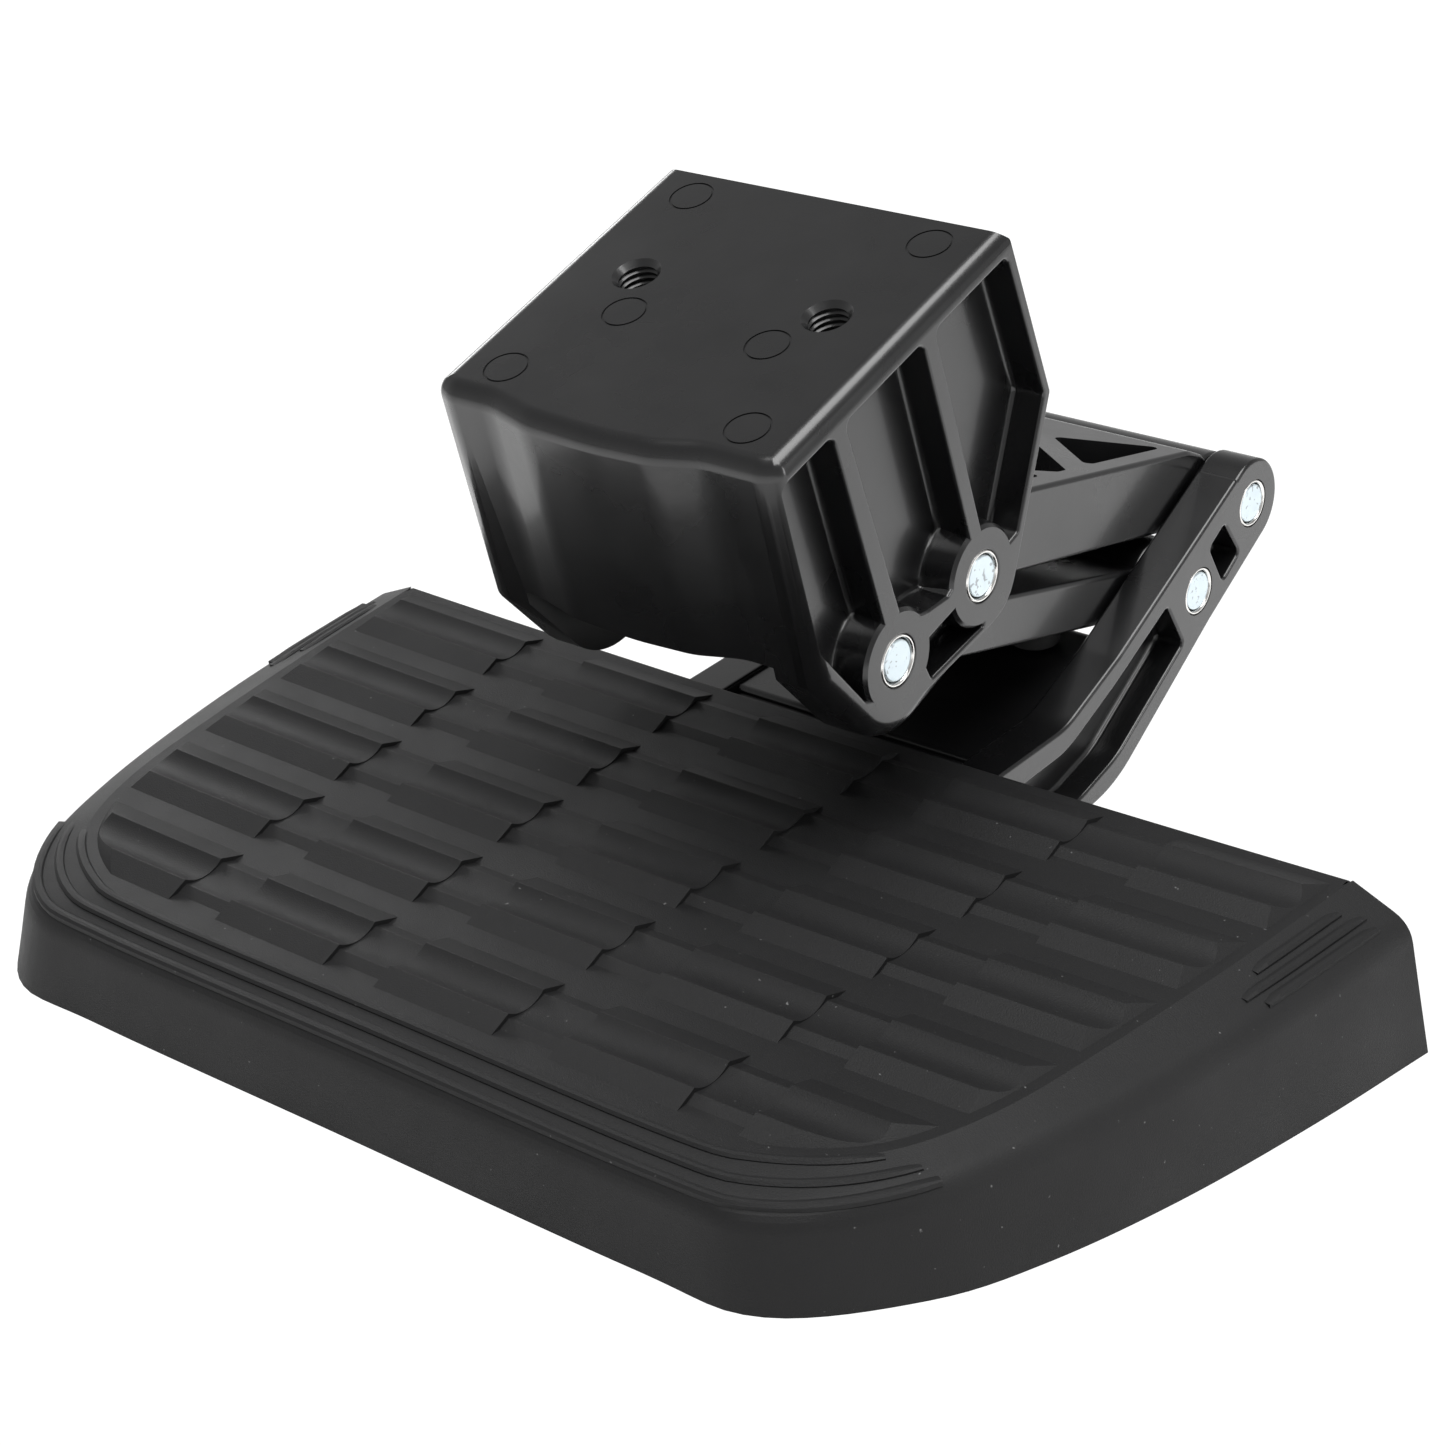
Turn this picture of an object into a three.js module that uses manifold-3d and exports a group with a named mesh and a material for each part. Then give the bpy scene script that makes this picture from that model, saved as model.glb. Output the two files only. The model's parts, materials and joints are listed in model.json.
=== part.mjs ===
// Retractable tailgate step: a cast mount housing that bolts up under a bumper, two cast links,
// a goose-neck swing arm and a moulded tread over a steel frame. Millimetres, +Z up.
//
// Two tilted frames are nested in the model. "Tread frame": X across the step, Y towards the
// vehicle, tread surface at z = 0. "Housing frame": y and z measured from the middle of the
// housing's flat top. The finished group stands on the level lower rim of the tread's skirt.

import * as THREE from 'three';
import { mergeVertices } from 'three/addons/utils/BufferGeometryUtils.js';
import Module from 'manifold-3d';

const wasm = await Module();
wasm.setup();

// ---------------------------------------------------------------- driving dimensions

const DEGREE = Math.PI / 180;
const GAP = 0.15;                       // clearance all round a pressed or running cylinder
const SKIN_GAP = 0.4;                   // clearance between stacked plates

// frames
const STAND_TILT = 4.9 * DEGREE;        // tread rises towards the vehicle when the skirt stands level
const HOUSING_TILT = 16.1 * DEGREE;     // housing top against the tread
const HOUSING_TOP = 131.5;              // height of the housing's top above the tread, at y = 0

// linkage pivots, [y, z] in the tread frame
const HOUSING_UPPER = [26.8, 57.2];
const HOUSING_LOWER = [-9.5, 49.2];
const ARM_UPPER = [159.4, 25.2];
const ARM_LOWER = [130.7, 9.5];

// pivots
const PIN_RADIUS = 5.5;
const SLEEVE_RADIUS = 6.85;             // steel sleeve in the housing and arm
const LINK_BUSH_RADIUS = 7.4;
const OPEN_BUSH_RADIUS = 9.7;           // bush of the pivot where the linkage is opened
const OPEN_BUSH_BORE = 8.5;
const BUSH_LENGTH = 12;
const BUSH_FLANGE_RADIUS = 10;
const BUSH_FLANGE = 0.7;
const ROUND_SIDES = 20;

// mount housing (housing frame)
const HOUSING_HALF = 54;
const HOUSING_INNER = 40;
const HOUSING_FILLET = 4.8;             // round the top's front and side edges
const FRONT_FLANK = 55;                 // front wall's flanks, before the swell in its middle
const FRONT_SWELL = 3.4;
const FRONT_LEAN = 0.079;
const FRONT_CORNER = 10;                // the front's upright corners turn in two steps
const FRONT_EDGE = 3.5;
const FRONT_WALL_HALF = 42;
const FRONT_WALL_END = -60;             // lower edge of the front wall
const REAR_WALL_END = -46;
const ROOF = 8;
const CHEEK_POCKET = 9.5;
const BOSS_RADIUS = 15.3;               // outline round each pivot on the cheek's outer face
const BOSS_KEPT = 13.8;                 // part of a boss that no pocket enters
const MOUNT_HOLE_X = 30;                // half the distance between the two tapped holes
const MOUNT_HOLE_RADIUS = 5.3;
const MOUNT_HOLE_DEPTH = 22;
const MOUNT_BOSS_RADIUS = 11;
const EJECTOR_MARK_RADIUS = 6;
const EJECTOR_MARK_DEPTH = 0.5;
const EJECTOR_MARKS = [[37.6, 33.2], [22.5, -14.5], [37.9, -43.3]];

// links
const LINK_HALF = 39;
const EYE_RADIUS = 12;
const UPPER_LINK_TOP = 14;
const UPPER_LINK_BOTTOM = -8.5;
const LOWER_LINK_TOP = 4.5;
const LOWER_LINK_BOTTOM = -10;
const LINK_WALL = 7;
const LINK_FLOOR = 5;

// springs on the housing's lower pin
const SPRING_RADIUS = 9.4;
const SPRING_WIRE = 1.3;
const SPRING_TURNS = 5;
const SPRING_PITCH = 3.2;
const SPRING_SLOT = 23;                 // half width of the slot in the lower link's hub
const SPRING_SLOT_RADIUS = 14.5;
const SPRING_SEAT = 5;
const CROSS_HOLE = 2;

// swing arm
const ARM_HALF = 53.1;
const ARM_INNER = 40;
const ARM_END_RADIUS = 13;
const ARM_POCKET = 9;
const FOOT_TOP = -6.3;
const FOOT_BOTTOM = -15;
const FOOT_END = -72;

// tread cover and frame
const SKIN = 2.6;
const SKIRT_WALL = 3;
const RIM_FRONT = -25.6;                // rim height under the tread at its front edge
const COVER_FRONT = -160;
const FRAME_TOP = -SKIN - SKIN_GAP;
const FRAME_SHEET = 3;
const RAIL_X = [119.5, 127.5];          // stiffening rails under the frame
const RAIL_Y = [-60, 5];
const RAIL_HEIGHT = 8;
const ROW_COUNT = 5;
const ROW_PITCH = 33.3;
const ROW_FRONT = -2.3;                 // front foot of the rearmost row
const FRONT_RIDGE = 6.4;                // a bar's two ridges, measured from its front foot
const REAR_RIDGE = 18.8;
const REAR_SLOPE = 7.4;
const HIGH_BAR = 2.5;
const LOW_BAR = 1.3;
const HIGH_BAR_END = 27;                // right end of the middle high bar

// fasteners
const BOLT_RADIUS = 4;
const BOLT_HEAD = 6.5;
const BOLT_HEAD_HEIGHT = 5.3;
const BOLT_PLACES = {
  front_left: [-28, -52],
  front_right: [28, -52],
  rear_left: [-28, 6],
  rear_right: [28, 6],
};
const SCREW_RADIUS = 1.9;
const SCREW_HEAD = 6;
const SCREW_BOSS = 4.2;
const SCREW_PLACES = [[-130, 14], [130, 14], [-112, -60], [112, -60], [-80, -122], [80, -122]];

// ---------------------------------------------------------------- solids

const FINISHES = {
  castBlack: { color: 0x151618, roughness: 0.32, metalness: 0.35 },
  treadPlastic: { color: 0x232427, roughness: 0.72, metalness: 0 },
  zincSteel: { color: 0xc9d0d4, roughness: 0.35, metalness: 0.9 },
  polishedSteel: { color: 0xd9d9d6, roughness: 0.2, metalness: 1 },
  springSteel: { color: 0x5c5f63, roughness: 0.4, metalness: 0.9 },
  bushPolymer: { color: 0x2c2d30, roughness: 0.55, metalness: 0 },
  rubber: { color: 0x18181a, roughness: 0.9, metalness: 0 },
  frameSteel: { color: 0x1b1c1e, roughness: 0.5, metalness: 0.4 },
};

function solid(geometry) {
  const bare = geometry.clone();
  bare.deleteAttribute('normal');
  bare.deleteAttribute('uv');
  const merged = mergeVertices(bare, 1e-4);
  return new wasm.Manifold(new wasm.Mesh({
    numProp: 3,
    vertProperties: new Float32Array(merged.attributes.position.array),
    triVerts: new Uint32Array(merged.index.array),
  }));
}

function geometryOf(manifold) {
  const mesh = manifold.getMesh();
  const geometry = new THREE.BufferGeometry();
  geometry.setAttribute('position', new THREE.BufferAttribute(new Float32Array(mesh.vertProperties), 3));
  geometry.setIndex(new THREE.BufferAttribute(new Uint32Array(mesh.triVerts), 1));
  geometry.computeVertexNormals();
  return geometry;
}

function joined(...solids) {
  return solids.reduce((whole, next) => whole.add(next));
}

function cut(body, ...tools) {
  return tools.reduce((left, tool) => left.subtract(tool), body);
}

// An outline in a [y, z] plane, pushed along X from x0 to x1.
function alongX(points, x0, x1, bevel = 0, bevelSegments = 1) {
  const shape = new THREE.Shape(points.map(([y, z]) => new THREE.Vector2(y, z)));
  const geometry = new THREE.ExtrudeGeometry(shape, {
    depth: x1 - x0 - 2 * bevel,
    bevelEnabled: bevel > 0,
    bevelThickness: bevel,
    bevelSize: bevel,
    bevelOffset: -bevel,
    bevelSegments,
  });
  const toX = new THREE.Matrix4().set(0, 0, 1, x0 + bevel, 1, 0, 0, 0, 0, 1, 0, 0, 0, 0, 0, 1);
  return solid(geometry.applyMatrix4(toX));
}

// An outline in a [x, y] plane, pushed up Z from z0 to z1.
function alongZ(points, z0, z1) {
  const shape = new THREE.Shape(points.map(([x, y]) => new THREE.Vector2(x, y)));
  const geometry = new THREE.ExtrudeGeometry(shape, { depth: z1 - z0, bevelEnabled: false });
  return solid(geometry.translate(0, 0, z0));
}

function block(x0, x1, y0, y1, z0, z1) {
  const geometry = new THREE.BoxGeometry(x1 - x0, y1 - y0, z1 - z0);
  return solid(geometry.translate((x0 + x1) / 2, (y0 + y1) / 2, (z0 + z1) / 2));
}

function rodX(radius, x0, x1, [y, z], sides = ROUND_SIDES) {
  const geometry = new THREE.CylinderGeometry(radius, radius, x1 - x0, sides);
  return solid(geometry.rotateZ(-Math.PI / 2).translate((x0 + x1) / 2, y, z));
}

function rodZ(radius, z0, z1, [x, y], sides = ROUND_SIDES) {
  const geometry = new THREE.CylinderGeometry(radius, radius, z1 - z0, sides);
  return solid(geometry.rotateX(Math.PI / 2).translate(x, y, (z0 + z1) / 2));
}

// A turned ring on an X axis; the section is a list of [distance along X, radius].
function turnedX(section, x0, direction, [y, z]) {
  const profile = section.map(([along, radius]) => new THREE.Vector2(radius, along));
  profile.push(profile[0].clone());
  const geometry = new THREE.LatheGeometry(profile, ROUND_SIDES);
  geometry.rotateZ(-Math.PI / 2);
  if (direction < 0) geometry.rotateY(Math.PI);
  return solid(geometry.translate(x0, y, z));
}

// Points round an arc, [y, z].
function arc([cy, cz], radius, fromDegree, toDegree, steps) {
  return Array.from({ length: steps + 1 }, (_, i) => {
    const angle = (fromDegree + (toDegree - fromDegree) * i / steps) * DEGREE;
    return [cy + radius * Math.cos(angle), cz + radius * Math.sin(angle)];
  });
}

// The outline of a belt laid round a set of discs, each [y, z, radius].
function belt(discs, step = 18) {
  const points = discs.flatMap(([y, z, radius]) => arc([y, z], radius, 0, 360 - step, 360 / step - 1));
  points.sort((a, b) => a[0] - b[0] || a[1] - b[1]);
  const half = (list) => {
    const chain = [];
    for (const p of list) {
      while (chain.length > 1) {
        const [o, a] = chain.slice(-2);
        if ((a[0] - o[0]) * (p[1] - o[1]) - (a[1] - o[1]) * (p[0] - o[0]) > 1e-6) break;
        chain.pop();
      }
      chain.push(p);
    }
    return chain.slice(0, -1);
  };
  return [...half(points), ...half([...points].reverse())];
}

// A polygon whose corners [y, z, radius] are rounded by arcs.
function rounded(corners, steps = 3) {
  const count = corners.length;
  return corners.flatMap(([y, z, radius = 0], i) => {
    if (radius === 0) return [[y, z]];
    const here = new THREE.Vector2(y, z);
    const before = new THREE.Vector2(...corners[(i + count - 1) % count].slice(0, 2)).sub(here).normalize();
    const after = new THREE.Vector2(...corners[(i + 1) % count].slice(0, 2)).sub(here).normalize();
    const half = Math.acos(THREE.MathUtils.clamp(before.dot(after), -1, 1)) / 2;
    const centre = before.clone().add(after).normalize().multiplyScalar(radius / Math.sin(half)).add(here);
    const start = before.multiplyScalar(radius / Math.tan(half)).add(here).sub(centre).angle();
    const end = after.multiplyScalar(radius / Math.tan(half)).add(here).sub(centre).angle();
    let sweep = end - start;
    if (sweep > Math.PI) sweep -= 2 * Math.PI;
    if (sweep < -Math.PI) sweep += 2 * Math.PI;
    return arc([centre.x, centre.y], radius, start / DEGREE, (start + sweep) / DEGREE, steps);
  });
}

// A closed solid through rings of equal point count, first ring on top.
function loft(rings) {
  const count = rings[0].length;
  const vertices = rings.flat(2);
  const indices = [];
  for (let r = 0; r + 1 < rings.length; r += 1) {
    for (let i = 0; i < count; i += 1) {
      const a = r * count + i;
      const b = r * count + (i + 1) % count;
      indices.push(a, a + count, b, b, a + count, b + count);
    }
  }
  const flat = (ring) => ring.map(([x, y]) => new THREE.Vector2(x, y));
  for (const [a, b, c] of THREE.ShapeUtils.triangulateShape(flat(rings[0]), [])) indices.push(a, b, c);
  const last = (rings.length - 1) * count;
  for (const [a, b, c] of THREE.ShapeUtils.triangulateShape(flat(rings.at(-1)), [])) {
    indices.push(last + a, last + c, last + b);
  }
  const geometry = new THREE.BufferGeometry();
  geometry.setAttribute('position', new THREE.Float32BufferAttribute(vertices, 3));
  geometry.setIndex(indices);
  return solid(geometry);
}

function named(name, manifold, finish) {
  const mesh = new THREE.Mesh(geometryOf(manifold), new THREE.MeshStandardMaterial(FINISHES[finish]));
  mesh.name = name;
  return mesh;
}

// A tread-frame [y, z] point in the housing frame.
function inHousing([y, z]) {
  const c = Math.cos(HOUSING_TILT);
  const s = Math.sin(HOUSING_TILT);
  return [y * c + (z - HOUSING_TOP) * s, -y * s + (z - HOUSING_TOP) * c];
}

// ---------------------------------------------------------------- mount housing

// The housing's plan at height z, counter-clockwise, drawn in by inset. The front wall leans
// forward as it falls and swells in the middle; the plan runs past the back of the cheeks.
function housingPlan(z, inset) {
  const half = HOUSING_HALF - inset;
  const flank = -FRONT_FLANK + inset + z * FRONT_LEAN;
  const swell = flank - FRONT_SWELL;
  const corner = FRONT_CORNER - inset;
  const edge = Math.max(FRONT_EDGE - inset, 0.6);
  const plan = rounded([
    [half, 60], [-half, 60], [-half, flank + 2.2, edge], [5.5 - half, flank, corner], [-35, flank, 20],
    [-22, swell, 20], [0, swell - 1, 60], [19, swell, 20], [31, flank, 20], [half - 5.5, flank, corner],
    [half, flank + 2.2, edge],
  ], 2);
  return plan.map(([x, y]) => [x, y, z]);
}

// Three pockets and a small gusset pocket leave two ribs in each cheek; the bosses stay whole.
function cheekPockets(upper, lower) {
  const outlines = [
    [[-53.4, -6, 3], [-33.4, -6, 3], [-33.7, -70], [-40, -82], [-46.5, -77.5, 1.5], [-56.4, -54, 3]],
    [[-28, -6, 3], [4.4, -6, 3], [3.6, -70], [-9, -74], [-17, -72], [-26.6, -68]],
    [[9.8, -6, 3], [41.3, -6, 3], [43.6, -49.5, 3], [22, -77.5, 1.5], [14, -78], [9, -70]],
    [[-24, -79.5], [-4, -79.5], [2, -92], [-22, -90.4]],
  ];
  return [-1, 1].flatMap((side) => outlines.map((outline) => {
    const [near, far] = [side * (HOUSING_HALF - CHEEK_POCKET), side * (HOUSING_HALF + 1)];
    const [x0, x1] = [Math.min(near, far), Math.max(near, far)];
    return cut(
      alongX(rounded(outline), x0, x1),
      rodX(BOSS_KEPT, x0 - 1, x1 + 1, upper),
      rodX(BOSS_KEPT, x0 - 1, x1 + 1, lower),
    );
  }));
}

function housingSolid() {
  const upper = inHousing(HOUSING_UPPER);
  const lower = inHousing(HOUSING_LOWER);
  const shell = loft([
    housingPlan(0, HOUSING_FILLET),
    housingPlan(-0.29 * HOUSING_FILLET, 0.29 * HOUSING_FILLET),
    housingPlan(-HOUSING_FILLET, 0),
    housingPlan(-112, 0),
  ]);
  const front = belt([
    [-67.6, 4, 5.4], [-66.7, -36, 5.4], [...lower, BOSS_RADIUS + HOUSING_FILLET],
    [...upper, BOSS_RADIUS], [-10, 4, 5.4],
  ]);
  const rear = belt([
    [-30, 4, 1], [...lower, BOSS_RADIUS], [...upper, BOSS_RADIUS],
    [44.4, -49.7, 2], [42.9, -3, 1.2], [38.5, 4, 1],
  ]);
  const cheeks = joined(
    alongX(front, -HOUSING_HALF, HOUSING_HALF, HOUSING_FILLET, 2),
    alongX(rear, -HOUSING_HALF, HOUSING_HALF),
  );
  const across = (x, z) => [[x, 30, z], [-x, 30, z], [-x, -85, z], [x, -85, z]];
  const middle = loft([
    across(FRONT_WALL_HALF, 5),
    across(FRONT_WALL_HALF, FRONT_WALL_END + 5),
    across(FRONT_WALL_HALF - 5, FRONT_WALL_END),
  ]);
  let body = shell.intersect(joined(cheeks, middle));

  // the inside is open below and at the back under the rear wall
  const inside = [
    [-49.5, -ROOF], [-56, FRONT_WALL_END], [-80, FRONT_WALL_END], [-80, -110],
    [70, -110], [70, REAR_WALL_END], [39, REAR_WALL_END], [39, -ROOF],
  ];
  body = cut(body, alongX(inside, -HOUSING_INNER, HOUSING_INNER), ...cheekPockets(upper, lower));

  // tapped holes in bosses under the roof, and the shallow ejector marks
  for (const side of [-1, 1]) {
    const at = [side * MOUNT_HOLE_X, 0];
    body = body.add(rodZ(MOUNT_BOSS_RADIUS, -MOUNT_HOLE_DEPTH - 4, -ROOF + 1, at));
    body = cut(body, rodZ(MOUNT_HOLE_RADIUS, -MOUNT_HOLE_DEPTH, 1, at));
    for (const [x, y] of EJECTOR_MARKS) {
      body = cut(body, rodZ(EJECTOR_MARK_RADIUS, -EJECTOR_MARK_DEPTH, 1, [side * x, y], 12));
    }
  }

  // bores for the sleeves
  for (const pivot of [upper, lower]) {
    body = cut(body, rodX(SLEEVE_RADIUS + GAP, -HOUSING_HALF - 1, HOUSING_HALF + 1, pivot));
  }
  return body;
}

// ---------------------------------------------------------------- links

// The frame of a link: distance along it from the first pivot, height above the pivot line.
function linkFrame([y0, z0], [y1, z1]) {
  const length = Math.hypot(y1 - y0, z1 - z0);
  const [c, s] = [(y1 - y0) / length, (z1 - z0) / length];
  const place = ([along, up]) => [y0 + along * c - up * s, z0 + along * s + up * c];
  return { length, place, angle: Math.atan2(s, c) };
}

// A tool cut down into a link: an outline of [x, distance along the link].
function linkTool(points, bottom, top, [y0, z0], angle) {
  const geometry = geometryOf(alongZ(points, bottom, top));
  return solid(geometry.rotateX(angle).translate(0, y0, z0));
}

function linkBores(body, first, second, secondRadius) {
  return cut(
    body,
    rodX(LINK_BUSH_RADIUS + GAP, -LINK_HALF - 1, LINK_HALF + 1, first),
    rodX(secondRadius + GAP, -LINK_HALF - 1, LINK_HALF + 1, second),
  );
}

function upperLinkSolid() {
  const { length, place, angle } = linkFrame(HOUSING_UPPER, ARM_UPPER);
  const side = rounded([
    [3, UPPER_LINK_BOTTOM], [length - 3, UPPER_LINK_BOTTOM],
    [length - 3, 11, 6], [length - 14, UPPER_LINK_TOP, 12],
    [22, UPPER_LINK_TOP, 12], [3, 11, 6],
  ]).map(place);
  let body = joined(
    alongX(side, -LINK_HALF, LINK_HALF, 1.5),
    rodX(EYE_RADIUS, -LINK_HALF, LINK_HALF, HOUSING_UPPER),
    rodX(EYE_RADIUS, -LINK_HALF, LINK_HALF, ARM_UPPER),
  );
  const wall = LINK_HALF - LINK_WALL;
  const bottom = UPPER_LINK_BOTTOM + LINK_FLOOR;
  const side1 = [[wall, 79, 2], [wall, 119, 2], [6, 102, 2]];
  const side2 = [[wall, 61, 2], [wall, 20, 2], [9, 26, 2]];
  const diamond = [[wall, 65, 2], [wall, 69, 2], [0, 97, 2], [-wall, 69, 2], [-wall, 65, 2], [0, 33, 2]];
  const mirror = (list) => list.map(([x, ...rest]) => [-x, ...rest]).reverse();
  for (const pocket of [side1, mirror(side1), side2, mirror(side2), diamond]) {
    body = cut(body, linkTool(rounded(pocket, 3), bottom, UPPER_LINK_TOP + 5, HOUSING_UPPER, angle));
  }
  return linkBores(body, HOUSING_UPPER, ARM_UPPER, OPEN_BUSH_RADIUS);
}

function lowerLinkSolid() {
  const { length, place, angle } = linkFrame(HOUSING_LOWER, ARM_LOWER);
  const side = rounded([
    [3, LOWER_LINK_BOTTOM], [length - 3, LOWER_LINK_BOTTOM],
    [length - 3, LOWER_LINK_TOP], [3, LOWER_LINK_TOP],
  ]).map(place);
  let body = joined(
    alongX(side, -LINK_HALF, LINK_HALF, 1.5),
    rodX(EYE_RADIUS, -LINK_HALF, LINK_HALF, HOUSING_LOWER),
    rodX(EYE_RADIUS, -LINK_HALF, LINK_HALF, ARM_LOWER),
  );
  const wall = LINK_HALF - LINK_WALL;
  const top = LOWER_LINK_TOP - LINK_FLOOR;
  const bays = [[24, 62], [70, 118]];
  for (const [from, to] of bays) {
    for (const side of [-1, 1]) {
      const near = side * 3;
      const far = side * wall;
      const outline = side > 0
        ? [[near, from, 3], [far, from, 3], [far, to, 3], [near, to, 3]]
        : [[far, from, 3], [near, from, 3], [near, to, 3], [far, to, 3]];
      body = cut(body, linkTool(rounded(outline, 3), LOWER_LINK_BOTTOM - 5, top, HOUSING_LOWER, angle));
    }
  }
  // slot for the springs, with a seat for each spring's outer end
  body = cut(body, rodX(SPRING_SLOT_RADIUS, -SPRING_SLOT, SPRING_SLOT, HOUSING_LOWER));
  for (const side of [-1, 1]) {
    const inner = side * (SPRING_SLOT - 1);
    const outer = side * (SPRING_SLOT + SPRING_SEAT);
    const [x0, x1] = [Math.min(inner, outer), Math.max(inner, outer)];
    const seat = rodX(SPRING_RADIUS + SPRING_WIRE + 0.5, x0, x1, HOUSING_LOWER);
    body = cut(body, seat);
  }
  return linkBores(body, HOUSING_LOWER, ARM_LOWER, LINK_BUSH_RADIUS);
}

// ---------------------------------------------------------------- swing arm

function armSolid() {
  const side = rounded([
    [ARM_UPPER[0] - 5.6, ARM_UPPER[1] + 12],
    [90, 6.4, 30], [64, -3.4, 24], [31.5, -3.4], [31.5, FOOT_TOP], [FOOT_END, FOOT_TOP, 4],
    [FOOT_END, FOOT_BOTTOM, 4], [24, -26, 20], [52, -34.8, 20], [87, -32.4, 40],
    [ARM_LOWER[0] + 6.2, ARM_LOWER[1] - 11.4],
  ]);
  const ends = belt([[...ARM_UPPER, ARM_END_RADIUS], [...ARM_LOWER, ARM_END_RADIUS]]);
  const flanges = [[ARM_INNER, ARM_HALF], [-ARM_HALF, -ARM_INNER]].map(([x0, x1]) => joined(
    alongX(side, x0, x1, 2.5),
    alongX(ends, x0, x1, 2.5),
  ));
  const web = rounded([
    [38, -4.6, 2], [64, -4.6, 24], [88, 2.5, 24], [104, 2.5, 6], [113, -3.5, 2], [110, -10, 2],
    [98, -4.5, 8], [86, -5.5, 20], [64, -12.5, 20], [38, -12.5],
  ]);
  let body = joined(
    ...flanges,
    alongX(web, -ARM_INNER - 3, ARM_INNER + 3),
    block(-ARM_INNER - 3, ARM_INNER + 3, FOOT_END + 3, 40, FOOT_BOTTOM + 2.5, FOOT_TOP),
  );

  // pockets in the outer faces: one between the pivots, one below them down to the foot
  const pockets = [
    rounded([[136.6, 20.2, 1.5], [144.6, 24.6, 1.5], [152.4, 12.8, 1.5], [143.6, 7.4, 1.5]]),
    rounded([
      [114.6, 11.4, 2], [122.8, -3.4, 2], [88, -23.6, 30], [70, -28, 20], [44, -28, 6],
      [30, -20, 4], [30, -11.5, 3], [64, -10.8, 30], [88, -1.2, 30],
    ]),
  ];
  for (const pocket of pockets) {
    body = cut(
      body,
      alongX(pocket, ARM_HALF - ARM_POCKET, ARM_HALF + 1),
      alongX(pocket, -ARM_HALF - 1, -ARM_HALF + ARM_POCKET),
    );
  }
  for (const pivot of [ARM_UPPER, ARM_LOWER]) {
    body = cut(body, rodX(SLEEVE_RADIUS + GAP, -ARM_HALF - 1, ARM_HALF + 1, pivot));
  }
  for (const place of Object.values(BOLT_PLACES)) {
    body = cut(body, rodZ(BOLT_RADIUS + GAP, FOOT_BOTTOM - 1, FOOT_TOP + 1, place, 12));
  }
  return body;
}

// ---------------------------------------------------------------- tread cover

// Rim height under the tread: the rim is level when the step stands, so it falls in the tread frame.
function rimHeight(y) {
  return RIM_FRONT - (y - COVER_FRONT) * Math.tan(STAND_TILT);
}

// A closed plan outline from points down its right half, rear corner first. The front lies flat.
function planOutline(half, samples) {
  const curve = new THREE.SplineCurve(half.map(([x, y]) => new THREE.Vector2(x, y)));
  const right = curve.getSpacedPoints(samples).map((p) => [p.x, p.y]);
  const left = right.slice(0, -1).reverse().map(([x, y]) => [-x, y]);
  return [...right, ...left].reverse();
}

const COVER_OUTLINES = {
  plateau: [[158, 31], [153, -16], [146, -62], [136.5, -98], [124, -124], [104, -138], [80, -141], [0, -141]],
  shoulder: [
    [172.8, 30], [167.3, -20], [160.2, -62], [150.4, -98],
    [139, -125.5], [117.5, -149.5], [86, -154.5], [0, -154.5],
  ],
  wall: [
    [176.6, 29.8], [171.6, -20], [164.5, -62], [154.8, -98.5],
    [142.8, -127], [120, -153.6], [87, -157.6], [0, -157.6],
  ],
  rim: [
    [180.3, 29.6], [175.4, -16], [168.3, -62], [158.6, -101.5],
    [146.4, -130], [121.6, -157], [88, -160], [0, -160],
  ],
};

function coverRings(inset, drop, rimDrop) {
  const samples = 16;
  const height = {
    plateau: () => 0,
    shoulder: (y) => THREE.MathUtils.mapLinear(Math.max(y, -150), -150, 30, -3, -7),
    wall: (y) => THREE.MathUtils.mapLinear(Math.max(y, -150), -150, 30, -8, -12),
    rim: rimHeight,
  };
  return Object.entries(COVER_OUTLINES).map(([level, half]) => {
    const ring = planOutline(half, samples);
    const below = level === 'rim' ? rimDrop : drop;
    return ring.map(([x, y], i) => {
      const [ax, ay] = ring[(i + ring.length - 1) % ring.length];
      const [bx, by] = ring[(i + 1) % ring.length];
      const along = new THREE.Vector2(bx - ax, by - ay).normalize();
      return [x - along.y * inset, y + along.x * inset, height[level](y) - below];
    });
  });
}

function rowHalfLength(row) {
  return 152 - 2.2 * row - 1.05 * row * row;
}

// A bar's section: slopes in front and behind, and a hollowed top between two ridges.
function barSection(front, height) {
  const share = height / HIGH_BAR;
  const foot = front + FRONT_RIDGE * (1 - share);
  const tip = front + REAR_RIDGE + REAR_SLOPE * share;
  return [
    [foot, -1], [tip, -1], [tip, 0], [front + REAR_RIDGE, height],
    [front + (FRONT_RIDGE + REAR_RIDGE) / 2, height * 0.4], [front + FRONT_RIDGE, height], [foot, 0],
  ];
}

function treadRows() {
  const bars = [];
  for (let row = 0; row < ROW_COUNT; row += 1) {
    const front = ROW_FRONT - ROW_PITCH * row;
    const reach = rowHalfLength(row);
    const spacing = 63.5 - 2 * row;
    const length = 41 - 0.7 * row;
    bars.push(alongX(barSection(front, LOW_BAR), -reach + 6, reach - 6));
    for (let place = -2; place <= 2; place += 1) {
      const right = HIGH_BAR_END + place * spacing;
      const from = place === -2 ? -reach : right - length;
      const to = place === 2 ? reach : right;
      bars.push(alongX(barSection(front, HIGH_BAR), from, to));
    }
  }
  return bars;
}

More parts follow.
